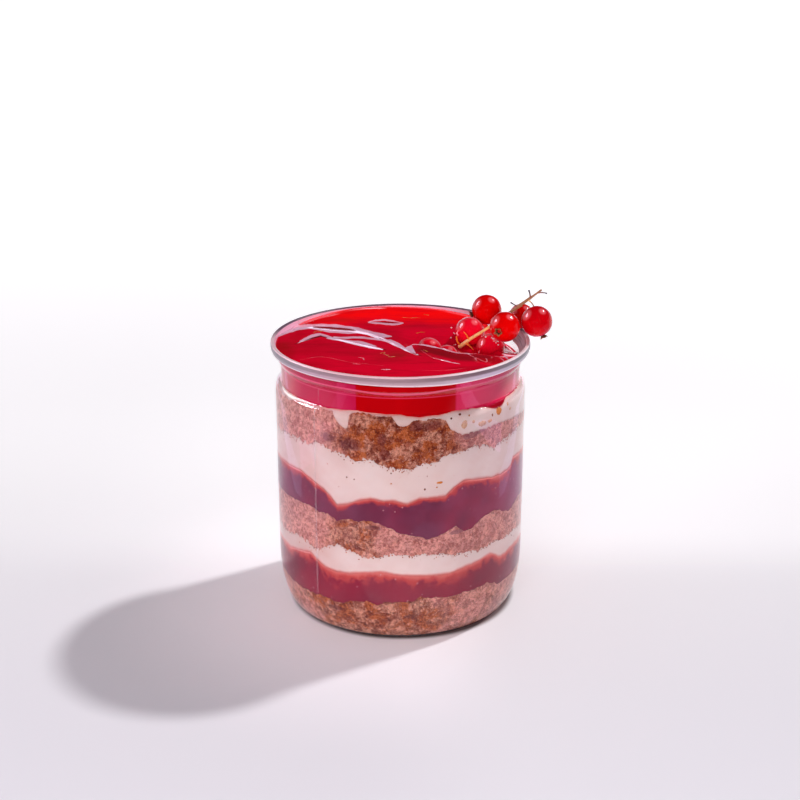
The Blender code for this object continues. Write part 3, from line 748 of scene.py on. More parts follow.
def creamFinish():
    # Smooth pale cream with fine pores, pinker where it is smeared and near its foot. Jam
    # bleeds into the foot of the lower two layers, and jelly into the top one's upper edge.
    finish = Finish("paleCream", {"Roughness": 0.5, "Specular IOR Level": 0.3,
                                  "Subsurface Weight": 0.12, "Subsurface Scale": 1.2 * mm,
                                  "Subsurface Radius": (1.0, 0.55, 0.45)})
    cloud = finish.noise(12.0, 3.0)
    tone = finish.mix(cloud, (0.81, 0.65, 0.625), (0.855, 0.71, 0.685))
    tone = finish.mix(finish.value("smear"), tone, (0.75, 0.52, 0.48))
    low = finish.value("fromBottom")
    tone = finish.mix((1.0 - (low + finish.noise(1.4, 3.0) * 0.8).between(0.2, 1.5)) * 0.3,
                      tone, (0.76, 0.40, 0.36))
    high = finish.axis(2)
    bled = 1.0 - (low / (0.5 + finish.noise(2.4, 3.0) * 1.3)).between(0.0, 1.0)
    bled = bled * (1.0 - high.between(0.060, 0.062))
    tone = finish.mix(bled ** 1.4 * 0.95, tone, (0.74, 0.19, 0.17))
    blush = 1.0 - (finish.value("fromTop") / (0.1 + finish.noise(2.6, 3.0) * 0.9)).between(0.0, 1.0)
    blush = blush * high.between(0.066, 0.067)
    tone = finish.mix(blush * 0.7, tone, (0.86, 0.24, 0.20))
    pore = finish.cells(1.3)
    finish.set("Base Color", finish.mix((1.0 - pore.between(0.05, 0.16)) * 0.25, tone, (0.72, 0.48, 0.46)))
    finish.set("Normal", finish.bump(finish.noise(3.0, 3.0), 0.08, 0.5))
    return finish


def jamFinish():
    # Dark berry jam: a bright red fringe along its top, deep red below, a mauve haze over the upper layer, a
    # mauve painted reflection towards both sides that is stronger on the right, and a few pale bubbles
    finish = Finish("berryJam", {"Specular IOR Level": 0.35})
    top, juice = finish.value("fromTop"), finish.value("smear")
    cloud = finish.noise(6.0, 3.0, 0.55)
    body = finish.mix((cloud * 0.5 + juice * 0.75 - 0.1).between(0.0, 1.0),
                      (0.135, 0.006, 0.034), (0.31, 0.007, 0.040))
    across = finish.axis(0)
    high = finish.axis(2)
    hazeAndSheen = high.between(0.024, 0.030) * (0.10 + finish.noise(8.0, 3.0).between(0.40, 0.65) * 0.10)
    # Painted reflection: a mauve sheen towards both sides, stronger on the right
    rightward = across.between(-0.01, 0.01) * 0.30 + 0.10
    sideReflection = across.size().between(0.026, 0.036) * rightward
    hazeAndSheen = hazeAndSheen + sideReflection * (0.5 + high.between(0.024, 0.030) * 0.5)
    body = finish.mix(hazeAndSheen, body, (0.46, 0.15, 0.30))
    reach = top / (0.45 + cloud * (1.0 + juice * 5.0) * finish.noise(2.4, 3.0).between(0.22, 0.65))
    red = finish.mix(reach.between(0.35, 1.5), (0.58, 0.060, 0.060), body)
    fringe = finish.mix(reach.between(0.0, 0.5), (0.72, 0.17, 0.15), red)
    spot = finish.cells(2.0)
    picked = finish.cells(2.0, output="Color")
    pale = (1.0 - spot.between(0.08, 0.15)) * picked.between(0.52, 0.66)
    finish.set("Base Color", finish.mix(pale * 0.7, fringe, (0.66, 0.30, 0.34)))
    finish.set("Roughness", 0.32 + cloud * 0.2)
    finish.set("Normal", finish.bump(finish.noise(4.0, 3.0), 0.1, 0.5))
    return finish


# Camera as it stood for the photo: its place in metres, its pitch in degrees from looking down

camera = {"place": (-0.00009, -0.39788, 0.19997), "pitch": 70.84, "lens": 63.587, "sensor": 36.0}


def makeCamera():
    data = bpy.data.cameras.new("photoCamera")
    data.lens, data.sensor_width = camera["lens"], camera["sensor"]
    data.clip_start, data.clip_end = 0.01, 60.0
    seat = bpy.data.objects.new("photoCamera", data)
    seat.location = camera["place"]
    seat.rotation_euler = (math.radians(camera["pitch"]), 0.0, 0.0)
    bpy.context.scene.collection.objects.link(seat)
    bpy.context.scene.camera = seat


# Jelly on top

jelly = {
    "level": 80.0, "hollow": 2.8, "dip": 5.6, "ridgeLift": 0.35, "proud": 0.45,
    "dipPlace": (34.0, 10.5), "dipSize": (9.0, 15.0), "proudPlace": (-14.0, 30.0), "proudSize": (15.0, 12.0),
    "rings": 112, "columns": 540, "sideRows": 60, "wallReach": 0.22,
}
ridgeLine = ((-6.0, -5.5), (0.8, -7.0), (4.0, -4.2), (8.8, -5.5), (12.4, -9.0),
             (16.0, -12.3), (21.7, -13.3), (26.0, -15.0), (40.0, -17.0))
# Soft ripples whose far slope mirrors the bright floor: middle line (x, y), half width of
# the slope at each point, and how steep it is
ripples = {
    "upperFold": {"line": ((-37.5, 4.5), (-34, 10.3), (-31, 14.0), (-26, 13.4), (-21, 12.3), (-15.5, 11.7),
                           (-10, 8.5), (-4.6, 1.7), (0.8, -7.5), (4.2, -12.6), (6, -14)),
                  "width": (1.6, 3.2, 3.3, 3.5, 3.5, 3.1, 3.2, 3.0, 2.3, 1.3, 0.5), "steep": 0.13},
    "lowerFold": {"line": ((-31, -3), (-28, 0.8), (-23.5, 4.6), (-18, 1.2), (-12, -3.6),
                           (-7, -7.2), (-4, -9)),
                  "width": (0.5, 1.2, 1.4, 1.5, 1.9, 1.6, 0.6), "steep": 0.12},
    "oval": {"line": ((-11, 18.4), (-8, 19.0), (-4.7, 19.3), (-1, 19.0), (1.6, 18.4)),
             "width": (0.3, 1.0, 1.2, 1.0, 0.3), "steep": 0.02},
    "lens": {"line": ((-27, 12.2), (-24, 12.9), (-20, 13.2), (-16, 12.2), (-13, 10.9)),
             "width": (0.3, 0.8, 1.1, 0.8, 0.3), "steep": -0.13},
    "strand": {"line": ((-14, 13.4), (-10, 11.6), (-6.5, 7.6), (-3.5, 3.0), (-1, -1.5)),
               "width": (0.2, 0.5, 0.6, 0.5, 0.2), "steep": -0.13},
}


# Where a painted lilac reflection lies on the slopes: (x, y) along the far edge and along the near one
sheens = {
    "upperBand": (((-37.2, 4.1), (-36.3, 8.3), (-34.9, 13.1), (-33.4, 17.0), (-31.9, 19.9), (-30.8, 17.9),
                   (-25.0, 17.4), (-19.4, 17.2), (-12.6, 14.8), (-8.6, 11.1), (-5.2, 8.4), (-2.5, 5.6)),
                  ((-37.1, 2.9), (-34.3, 6.0), (-31.2, 8.7), (-28.6, 9.6), (-26.5, 9.8), (-26.3, 14.4),
                   (-22.8, 14.1), (-16.8, 13.8), (-13.7, 12.6), (-11.5, 10.1), (-8.4, 7.0), (-5.1, 4.9),
                   (-2.5, 4.8))),
    "lowerBand": (((-29.1, 11.7), (-26.3, 10.8), (-21.7, 10.3), (-16.6, 10.4), (-14.5, 10.9), (-12.5, 11.9),
                   (-8.5, 10.1), (-5.2, 7.5)),
                  ((-28.9, 9.4), (-26.4, 9.6), (-21.5, 7.5), (-16.5, 6.9), (-11.2, 6.9), (-8.2, 5.6),
                   (-5.1, 2.8))),
    "tail": (((-6.0, 5.9), (-3.9, 3.3), (-0.1, 0.0), (3.2, -4.0), (4.4, -11.2)),
             ((-6.0, 3.0), (-3.9, -1.6), (-1.5, -5.3), (0.8, -9.3), (4.4, -12.2))),
    "leftWave": (((-29.7, 0.1), (-28.2, 3.0), (-26.3, 5.6), (-23.8, 6.9), (-21.7, 5.6), (-20.0, 4.0)),
                 ((-29.6, -1.1), (-28.1, 0.9), (-26.1, 3.4), (-23.7, 5.0), (-21.5, 3.1), (-19.8, 1.3))),
    "frontBand": (((-21.8, 3.1), (-19.3, 2.6), (-16.3, 1.9), (-12.7, 0.5), (-11.0, -0.2), (-8.0, -3.4),
                   (-5.0, -8.3)),
                  ((-21.8, 1.9), (-20.1, 0.7), (-16.2, -0.7), (-12.7, -2.2), (-10.9, -4.3), (-9.1, -7.5),
                   (-7.0, -8.3), (-5.0, -9.2))),
    "thinLine": (((-20.0, 4.5), (-16.2, 4.2), (-13.2, 4.6), (-10.8, 4.0), (-8.1, 2.5), (-5.1, 0.9),
                  (-3.6, -0.6)),
                 ((-19.9, 3.2), (-16.1, 2.7), (-13.1, 2.8), (-10.7, 2.2), (-8.0, 0.9), (-5.1, -0.8),
                  (-3.6, -2.0))),
    "ovalBack": (((-9.9, 19.7), (-7.5, 21.8), (-4.7, 22.3), (-1.9, 21.6), (0.9, 19.3)),
                 ((-9.8, 19.0), (-7.5, 20.5), (-4.7, 20.8), (-1.9, 20.0), (0.9, 18.6))),
    "ovalFront": (((-9.9, 19.5), (-7.5, 19.4), (-4.7, 18.8), (-2.5, 18.3), (0.9, 19.4)),
                  ((-9.8, 18.8), (-7.4, 17.8), (-4.7, 17.0), (-2.5, 16.5), (-0.7, 16.8), (0.9, 18.4))),
}
# Clouds of brownish pulp in the jelly: place (x, y) and half widths
murks = (((1.0, -14.0), (8.0, 4.0)), ((-19.0, 21.0), (5.0, 2.2)), ((-33.0, -4.0), (3.0, 7.0)),
         ((6.0, 15.0), (5.0, 1.6)))


def sheenShare(x, y):
    # 1 between a streak's two edges, fading over a third of a millimetre at each, a little uneven
    total = np.zeros_like(x)
    flat = np.stack((x, y, x * 0.0), -1)
    shifted = y + 0.15 * softWaves(flat, 3.0, 31, 2)
    for far, near in sheens.values():
        farX, farY = np.array(far).T
        nearX, nearY = np.array(near).T
        behind = np.interp(x, farX, farY) - shifted
        before = shifted - np.interp(x, nearX, nearY)
        inside = (x > farX[0]) & (x < farX[-1])
        total = np.maximum(total, ease(behind / 0.35 + 0.5) * ease(before / 0.35 + 0.5) * inside)
    return total * (0.85 + 0.15 * softWaves(flat, 5.0, 32, 2))


def jellyHeight(x, y):
    # Level, less a hollow behind the ridge line or a dip down the wall at the right and back,
    # with a lifted ridge, a proud back left that rolls down to the rim, ripples and faint waves.
    # A ripple falls evenly across its width and fades back to the level on both sides.
    ridgeX, ridgeY = np.array(ridgeLine).T
    behind = y - np.interp(x, ridgeX, ridgeY)
    along = ease((x + 3.0) / 9.0) * ease((31.0 - x) / 6.0)
    hollow = ease(behind / 3.2) * ease((15.0 - y) / 13.0) * along
    lift = np.exp(-(behind / 1.6) ** 2) * along
    dip = mound(x, y, jelly["dipPlace"], jelly["dipSize"])
    proud = jelly["proud"] * mound(x, y, jelly["proudPlace"], jelly["proudSize"])
    fall = np.maximum(jelly["hollow"] * hollow, jelly["dip"] * dip)
    backRise = 0.35 * ease((y - 26.0) / 9.0) * ease((20.0 - x) / 9.0)
    height = jelly["level"] - fall + jelly["ridgeLift"] * lift + proud + backRise
    for ripple in ripples.values():
        lineX, lineY = np.array(ripple["line"]).T
        half = np.interp(x, lineX, ripple["width"])
        away = (y - np.interp(x, lineX, lineY)) / half
        ends = ease((x - lineX[0]) / 1.5) * ease((lineX[-1] - x) / 1.5)
        beyond = np.exp(-np.maximum(np.abs(away) - 1.0, 0.0) / 1.1)
        height -= ripple["steep"] * half * np.clip(away, -1.0, 1.0) * beyond * ends
    reach = np.hypot(x, y)
    turn = np.degrees(np.arctan2(x, -y))
    backLeft = ease((-turn - 88.0) / 22.0) * ease((178.0 + turn) / 12.0)
    height += backLeft * 0.55 * (hump((reach - 30.0) / 7.0) - ease((reach - 31.0) / 6.0) * 0.4)
    flat = np.stack((x, y, x * 0.0), -1)
    return height + 0.035 * softWaves(flat, 24.0, 5, 2)


def jellySide(z):
    # Just into the wall, and up behind the ring from the height of its lower edge
    low = jar["flangeLow"]
    return np.where(z > low, np.interp(z, (low, 79.4), (jar["stepRadius"] - 0.35, 36.55)),
                    wallInside(np.minimum(z, low)) + jelly["wallReach"])


def makeJelly():
    # Top: a disc of rings that follows the height above. Side: the neck, the bead and the
    # skirt of the rim. Below: the edge that it shares with the cream.
    angles = np.linspace(-180.0, 180.0, jelly["columns"], endpoint=False)
    share = np.linspace(0.004, 1.0, jelly["rings"])[:, None] ** 0.85
    turn = np.radians(angles)[None]
    neck = jar["neckRadius"]
    top = jellySide(jellyHeight(neck * np.sin(turn), -neck * np.cos(turn)))
    x, y = top * share * np.sin(turn), -top * share * np.cos(turn)
    cover = np.stack((x, y, jellyHeight(x, y)), -1)
    rimHeight = cover[-1, :, 2]
    shared, middle = edgeHeights("cream_cap")
    low = np.interp(angles, turns, shared)
    rows = []
    for part in np.linspace(0.0, 1.0, jelly["sideRows"] + 1)[1:]:
        height = rimHeight + (low - rimHeight) * part
        rows.append(around(jellySide(height), angles, height))
    under = []
    for inner in (0.97, 0.8, 0.5, 0.2):
        ring = rows[-1].copy()
        ring[:, :2] *= inner
        ring[:, 2] = middle + (low - middle) * inner ** endPower
        under.append(ring)
    grid = np.concatenate((cover, np.array(rows), np.array(under)))
    depth = np.clip(rimHeight[None] - grid[..., 2], 0.0, 12.0)
    depth[:len(cover)] = 0.0
    ridgeX, ridgeY = np.array(ridgeLine).T
    ahead = np.interp(grid[..., 0], ridgeX, ridgeY) - grid[..., 1]
    along = ease((grid[..., 0] - 2.0) / 5.0) * ease((33.0 - grid[..., 0]) / 8.0)
    # Painted shade: in front of the ridge, and along the ripples that slope away
    shade = ease((ahead + 0.2) / 0.8) * ease((8.0 - ahead) / 3.0) * along * (depth <= 0.0)
    for ripple in ripples.values():
        if ripple["steep"] > 0.0:
            lineX, lineY = np.array(ripple["line"]).T
            away = np.abs(grid[..., 1] - np.interp(grid[..., 0], lineX, lineY))
            inside = (grid[..., 0] > lineX[0]) & (grid[..., 0] < lineX[-1]) & (depth <= 0.0)
            half = np.interp(grid[..., 0], lineX, ripple["width"])
            shade = np.maximum(shade, 1.2 * ease((half - away) / 0.6) * inside)
    # Where the painted lilac reflection lies
    sheen = sheenShare(grid[..., 0], grid[..., 1]) * (depth <= 0.0)
    murk = sum(mound(grid[..., 0], grid[..., 1], place, size) for place, size in murks)
    return gridShape(grid, capFirst=True, capLast=True, depth=depth, shade=shade, sheen=sheen,
                     murk=np.clip(murk, 0.0, 1.0))


# In metres, the painted light on the jelly's side seen through the neck: the upright edges of its painted
# pink reflections (x) and the heights of its lines (z), each from where a change starts to where it ends
neckReflections = {
    "leftOuter": (-0.0176, -0.0171), "leftInner": (-0.0124, -0.0119), "right": (0.0148, 0.0156),
    "foot": (0.0686, 0.0697), "below": (0.0740, 0.0742), "belowEnd": (0.0744, 0.0746),
    "bead": 0.07565, "beadSlope": 0.0007, "beadHalf": 0.00042, "beadThins": 0.0002,
    "ring": (0.0776, 0.0778),
}


def jellyFinish():
    # Glossy red jelly: crimson over the deep front, a purer bright red with a painted glow at the back where
    # light would come through, painted shade in front of the ridge and along the ripples, and a painted
    # lilac reflection where its slopes would throw back the room. Its side is darker red with painted pink
    # reflections at the left and right, painted highlights on the bead and a painted shadow under the ring.
    finish = Finish("redJelly", {"Roughness": 0.035, "Specular IOR Level": 0.38,
                                 "Emission Strength": 1.0})
    across = finish.axis(0)
    back = finish.axis(1)
    cloud = finish.noise(13.0, 3.0)
    streaks = finish.noise(7.0, 3.0, 0.6, finish.stretched((0.5, 1.6, 1.0)))
    far = (back + cloud * 0.014).between(0.018, 0.034)
    top = finish.mix((back + cloud * 0.014).between(-0.022, 0.004),
                     (0.92, 0.0015, 0.028), (0.74, 0.002, 0.024))
    # Painted light: a brighter, purer red at the back
    top = finish.mix(far, top, (0.98, 0.003, 0.004))
    top = finish.mix(streaks.between(0.45, 0.70) * 0.5, top, (0.50, 0.002, 0.014))
    top = finish.mix(finish.value("murk") * cloud.between(0.30, 0.60) * 0.7, top, (0.34, 0.012, 0.010))
    left = (1.0 - across.between(-0.034, -0.018)) * cloud.between(0.35, 0.6)
    top = finish.mix(left * 0.5, top, (0.48, 0.001, 0.006))
    # Painted shade in front of the ridge and along the ripples
    top = finish.mix(finish.value("shade") * 0.72, top, (0.20, 0.006, 0.009))
    # Painted lilac reflection where the sheen lies
    sheen = finish.value("sheen")
    fine = finish.noise(1.3, 3.0, 0.6)
    lilac = finish.mix(fine.between(0.35, 0.65), (0.80, 0.53, 0.69), (0.84, 0.42, 0.56))
    top = finish.mix((sheen * (0.75 + fine * 0.5)).between(0.0, 1.0), top, lilac)
    side = finish.mix(cloud, (0.64, 0.0016, 0.006), (0.52, 0.0010, 0.004))
    # Painted pink reflections at the left and right of the side
    leftReflection = 1.0 - across.between(*neckReflections["leftInner"])
    side = finish.mix(leftReflection, side, (0.60, 0.003, 0.062))
    strip = leftReflection * across.between(*neckReflections["leftOuter"])
    side = finish.mix(strip * 0.35, side, (0.74, 0.03, 0.14))
    high = finish.axis(2)
    side = finish.mix(across.between(*neckReflections["right"]), side, (0.80, 0.022, 0.115))
    foot = 1.0 - high.between(*neckReflections["foot"])
    side = finish.mix(foot * across.between(0.012, 0.020), side, (0.36, 0.004, 0.014))
    # Painted highlights as bright lines on the bead under the flange and below it, and a painted shadow as a
    # dark line under the ring
    wide = across.size().between(0.004, 0.016)
    off = (high - wide * neckReflections["beadSlope"] - neckReflections["bead"]).size()
    bead = 1.0 - (off / (neckReflections["beadHalf"] - wide * neckReflections["beadThins"])).between(0.6, 1.25)
    below = high.between(*neckReflections["below"]) * (1.0 - high.between(*neckReflections["belowEnd"])) * 0.55
    front = 1.0 - back.between(-0.012, 0.0)
    side = finish.mix(((bead + below) * front * 0.85).between(0.0, 1.0), side, (0.90, 0.090, 0.23))
    side = finish.mix(high.between(*neckReflections["ring"]) * 0.6, side, (0.20, 0.0, 0.002))
    level = finish.value("depth").between(0.0, 0.6)
    finish.set("Base Color", finish.mix(level, top, side))
    # Painted glow at the back
    finish.set("Emission Color", finish.mix(far * (1.0 - level), (0.0, 0.0, 0.0), (0.24, 0.0, 0.0)))
    finish.set("Normal", finish.bump(finish.noise(9.0, 2.0), 0.03, 0.25))
    return finish


# Currants: centre, radius, the way that the dried flower at the end points, and how much
# deeper than the others its red is

berries = {
    "berry_high": {"place": (25.9, 11.5, 86.5), "radius": 4.40, "flower": (-0.95, -0.10, -0.30)},
    "berry_front": {"place": (30.2, -5.0, 85.9), "radius": 4.31, "flower": (-0.44, -0.90, -0.06)},
    "berry_overhang": {"place": (39.8, -1.0, 86.4), "radius": 4.50, "flower": (0.40, -0.30, -0.87),
                       "deep": 1.0},
    "berry_left": {"place": (20.7, 6.0, 81.3), "radius": 4.20, "flower": (-0.20, 0.75, -0.60)},
    "berry_behind": {"place": (36.2, 8.0, 85.4), "radius": 3.70, "flower": (0.45, 0.75, -0.50)},
    "berry_glazed": {"place": (26.5, -0.5, 78.1), "radius": 4.15, "flower": (0.55, 0.10, -0.83)},
    "berry_sunk_back": {"place": (8.5, 2.0, 76.6), "radius": 3.70, "flower": (-0.60, 0.20, -0.77)},
    "berry_sunk_front": {"place": (13.7, -3.0, 76.6), "radius": 3.05, "flower": (-0.20, -0.30, -0.93)},
}
sunkBerries = ("berry_left", "berry_glazed", "berry_sunk_back", "berry_sunk_front")
berryGrid = {"rows": 60, "columns": 72, "ribs": 9, "rib": 0.010}


def turnedTo(points, direction):
    # Turns a shape whose end points along -Z so that it points along a direction: the axes
    # are the direction reversed, one square to it and the cross product of both
    up = -np.asarray(direction, float) / np.linalg.norm(direction)
    side = np.cross((0.0, 1.0, 0.0), up)
    side /= np.linalg.norm(side)
    return points @ np.stack((side, np.cross(up, side), up))


# Ways in which a currant carries a painted highlight: direction and how closely it has to be met
highlightSides = (((-0.72, -0.42, 0.55), 0.90, 0.985), ((0.30, -0.50, 0.81), 0.955, 0.995))


def highlightShare(ball):
    # How near each point of a ball lies to one of the painted highlights, from 0 to 1
    unit = ball / np.linalg.norm(ball, axis=-1, keepdims=True)
    share = [ease((unit @ (np.array(way) / np.linalg.norm(way)) - low) / (high - low))
             for way, low, high in highlightSides]
    return np.maximum(*share)


def berryShape(name):
    # A ball from stalk to flower. Faint ribs run from end to end, one side is a little
    # fuller, and both ends are dimpled.
    berry = berries[name]
    seed = list(berries).index(name)
    polar = np.linspace(0.03, math.pi - 0.03, berryGrid["rows"])[:, None]
    turn = np.linspace(0.0, fullTurn, berryGrid["columns"], endpoint=False)[None]
    ribs = np.cos(berryGrid["ribs"] * turn + 0.5 * np.sin(2.0 * polar + seed))
    fuller = 0.012 * np.cos(turn + seed) + 0.008 * np.cos(2.0 * turn + 2.0 * seed)
    ends = 0.035 * hump(polar / 0.22) + 0.02 * hump((math.pi - polar) / 0.2)
    lumpy = 0.018 if name == "berry_glazed" else 0.004
    radius = berry["radius"] * (1.022 + berryGrid["rib"] * 0.5 * ribs * np.sin(polar) ** 2
                                + fuller * np.sin(polar) - ends)
    ball = np.stack((radius * np.sin(polar) * np.cos(turn), radius * np.sin(polar) * np.sin(turn),
                     radius * np.cos(polar) * np.ones_like(turn)), -1)
    ball = turnedTo(ball, berry["flower"])
    ball *= (1.0 + lumpy * (softWaves(ball, 3.2, seed, 2) - 0.6))[..., None]
    grid = ball + np.array(berry["place"])
    # pale holds where the painted highlights lie
    return gridShape(grid, capFirst=True, capLast=True, rib=ribs * np.sin(polar) ** 1.5,
                     flowerEnd=polar / math.pi, glazed=1.0 if name in sunkBerries else 0.0,
                     pale=highlightShare(ball),
                     upper=ball[..., 2] / berry["radius"], deep=berry.get("deep", 0.0))


def berryFinish():
    # Thin glossy skin over bright red flesh, pale veins along the ribs, darker at both ends, a painted dark
    # reflection in a thin line round the top, a painted crimson glow round the lower outline, and painted
    # highlights on two sides
    finish = Finish("currantSkin", {"Roughness": 0.09, "Specular IOR Level": 0.34,
                                    "Specular Tint": (1.0, 0.36, 0.42, 1.0)})
    cloud = finish.noise(2.8, 3.0)
    deep, upper = finish.value("deep"), finish.value("upper")
    flesh = finish.mix(cloud, (0.64, 0.0003, 0.001), (0.82, 0.0004, 0.0004))
    flesh = finish.mix(deep * 0.8, flesh, (0.52, 0.0004, 0.005))
    vein = finish.value("rib").between(0.86, 1.0) * 0.12
    flesh = finish.mix(vein, flesh, (0.93, 0.07, 0.06))
    ends = finish.value("flowerEnd")
    dark = (ends.between(0.90, 1.0) + (1.0 - ends.between(0.0, 0.10))) * 0.6
    flesh = finish.mix(dark, flesh, (0.25, 0.01, 0.01))
    flesh = finish.mix(finish.value("glazed") * 0.6, flesh, (0.95, 0.004, 0.036))
    edge = finish.node("ShaderNodeLayerWeight", None, {"Blend": 0.5}, "Facing")
    # Painted dark reflection in a thin line round the upper outline
    rimLine = edge.between(0.72, 0.95) * upper.between(0.0, 0.6) * 0.8
    flesh = finish.mix(rimLine, flesh, (0.10, 0.0, 0.02))
    # Painted crimson glow round the lower outline
    glow = edge.between(0.45, 0.95) * (1.0 - upper.between(-0.85, -0.2)) * (0.25 + deep * 0.6)
    flesh = finish.mix(glow, flesh, (0.95, 0.05, 0.20))
    # Painted highlights on the two pale sides
    flesh = finish.mix(finish.value("pale") * 0.42, flesh, (0.96, 0.26, 0.30))
    # Jelly smeared over the sunk ones, shown as a painted milky sheen near their upper outline
    glazeSheen = finish.value("glazed") * edge.between(0.35, 0.85) * upper.between(-0.1, 0.5)
    glazeSheen = glazeSheen * cloud.between(0.30, 0.62)
    finish.set("Base Color", finish.mix(glazeSheen * 0.75, flesh, (0.90, 0.27, 0.33)))
    finish.set("Normal", finish.bump(finish.noise(1.4, 2.0), 0.02, 0.3))
    return finish


def flowerShape(name, size=1.0):
    # The dried flower: a short cup whose lip spreads into five pointed, curled lobes
    berry = berries[name]
    along = np.linspace(0.0, 1.0, 16)[:, None]
    turn = np.linspace(0.0, fullTurn, 50, endpoint=False)[None]
    lobe = np.abs(np.cos(2.5 * turn)) ** 0.7
    spread = 0.42 + 0.18 * along + 0.75 * lobe * np.maximum(along - 0.45, 0.0)
    drop = 0.2 - 1.15 * along - 0.25 * lobe * along ** 3
    outer = np.stack((spread * np.cos(turn), spread * np.sin(turn), drop * np.ones_like(turn)), -1)
    inner = outer[::-1] * np.array((0.72, 0.72, 1.0)) + np.array((0.0, 0.0, 0.12))
    lobes = np.concatenate((outer, inner[:-4]))
    lobes[..., 2] -= berry["radius"] * 0.99 - 0.25
    grid = turnedTo(lobes * np.array((size, size, 1.0)), berry["flower"]) + np.array(berry["place"])
    ripe = np.concatenate((along, along[::-1][:-4]))
    return gridShape(grid, capFirst=True, capLast=True, ripe=ripe)


def flowerFinish():
    # Dry brown and ochre petals
    finish = Finish("driedFlower", {"Roughness": 0.8, "Specular IOR Level": 0.2})
    fleck = finish.noise(0.35, 3.0, 0.7)
    mixed = finish.mix(fleck.between(0.35, 0.65), (0.045, 0.010, 0.010), (0.13, 0.035, 0.018))
    tips = finish.value("ripe").between(0.75, 1.0) * fleck.between(0.3, 0.6)
    finish.set("Base Color", finish.mix(tips * 0.8, mixed, (0.55, 0.17, 0.06)))
    finish.set("Normal", finish.bump(fleck, 0.08, 0.8))
    return finish


# Stem of the sprig: points with their radius, and side twigs: points, thickness at each end,
# and whether it is bark (0), a leafy orange bract (1) or a dark dry tip (2)

stem = {
    "line": (((17.3, 1.0, 77.9), 0.48), ((20.9, 0.4, 80.8), 0.44), ((25.0, 0.4, 83.5), 0.42),
             ((29.2, 1.0, 86.3), 0.42), ((32.9, 1.4, 88.95), 0.46), ((36.6, 2.0, 91.6), 0.40),
             ((39.1, 3.0, 93.1), 0.28), ((41.4, 3.5, 94.7), 0.24)),
    "twigs": (
        (((34.4, 1.6, 89.9), (33.6, 1.2, 90.6), (32.2, 1.0, 91.5)), 0.20, 0.16, 2),
        (((38.0, 2.5, 92.4), (37.9, 2.3, 93.6), (37.5, 2.1, 94.9)), 0.22, 0.19, 2),
        (((40.3, 3.3, 93.8), (41.6, 3.2, 93.9), (43.0, 3.1, 93.7)), 0.19, 0.15, 2),
        (((17.8, 1.0, 78.3), (16.8, 0.9, 79.7), (16.5, 1.2, 81.2)), 0.46, 0.22, 1),
        (((20.2, 0.5, 80.2), (19.5, 0.4, 81.7), (18.6, 0.6, 82.8)), 0.40, 0.16, 1),
        (((19.2, 0.7, 79.4), (20.3, -0.6, 78.8), (21.5, -1.0, 77.6)), 0.42, 0.20, 1),
        (((37.3, 2.3, 91.9), (38.2, 1.1, 91.5), (38.9, 0.0, 90.7)), 0.20, 0.18, 0),
        (((31.0, 1.2, 87.6), (30.7, -0.4, 87.9), (30.5, -1.9, 88.2)), 0.20, 0.18, 0),
        (((30.0, 1.1, 86.9), (30.0, 4.5, 86.6), (28.9, 8.3, 86.0)), 0.20, 0.18, 0),
        (((34.6, 1.7, 90.2), (35.4, 4.0, 89.6), (36.0, 6.2, 88.9)), 0.20, 0.18, 0),
    ),
}


def stemShapes():
    # The stalk swells at each twig; twigs taper from their root to their tip
    points = curveThrough([place for place, radius in stem["line"]], 90)
    share = np.linspace(0.0, 1.0, 90)
    radii = np.interp(share * (len(stem["line"]) - 1), range(len(stem["line"])),
                      [radius for place, radius in stem["line"]])
    knots = sum(hump(np.linalg.norm(points - np.array(line[0]), axis=1) / 0.9)
                for line, thick, thin, kind in stem["twigs"])
    turn = np.linspace(0.0, fullTurn, 16, endpoint=False)[None]
    furrow = 1.0 + 0.05 * np.sin(5.0 * turn + 9.0 * share[:, None]) + 0.05 * np.sin(40.0 * share)[:, None]
    radii = (radii * (1.0 + 0.16 * knots))[:, None] * furrow
    shapes = [tubeShape(points, radii, 16, along=share, kind=share * 0.0)]
    for line, thick, thin, kind in stem["twigs"]:
        path = curveThrough(line, 22)
        step = np.linspace(0.0, 1.0, 22)
        width = np.interp(step, (0.0, 0.25, 0.9, 1.0), (thick * 1.25, thick, thin, thin * 0.8))
        width += (0.07 * hump((step - 0.97) / 0.12) if kind == 2 else 0.0)
        shapes.append(tubeShape(path, width, 12, 0.55 if kind == 1 else 1.0,
                                along=step, kind=np.full(22, kind / 2.0)))
    return shapes


def stemFinish():
    # Straw to orange bark, browner and darker up the stalk and at dry tips, orange bracts
    finish = Finish("sprigBark", {"Roughness": 0.5, "Specular IOR Level": 0.35})
    along, kind = finish.value("along"), finish.value("kind")
    fleck = finish.noise(0.7, 4.0, 0.6)
    bark = finish.mix(along.between(0.25, 0.65), (0.98, 0.52, 0.19), (0.38, 0.17, 0.085))
    bark = finish.mix(fleck.between(0.5, 0.75) * 0.55, bark, (0.24, 0.085, 0.045))
    bract = finish.mix(fleck, (0.90, 0.085, 0.010), (0.98, 0.28, 0.02))
    tip = finish.mix(along.between(0.2, 0.8), (0.30, 0.09, 0.07), (0.045, 0.015, 0.035))
    shade = finish.mix(kind.between(0.2, 0.45), bark, bract)
    finish.set("Base Color", finish.mix(kind.between(0.7, 0.9), shade, tip))
    finish.set("Normal", finish.bump(fleck, 0.06, 0.7))
    return finish


# Small scattered things

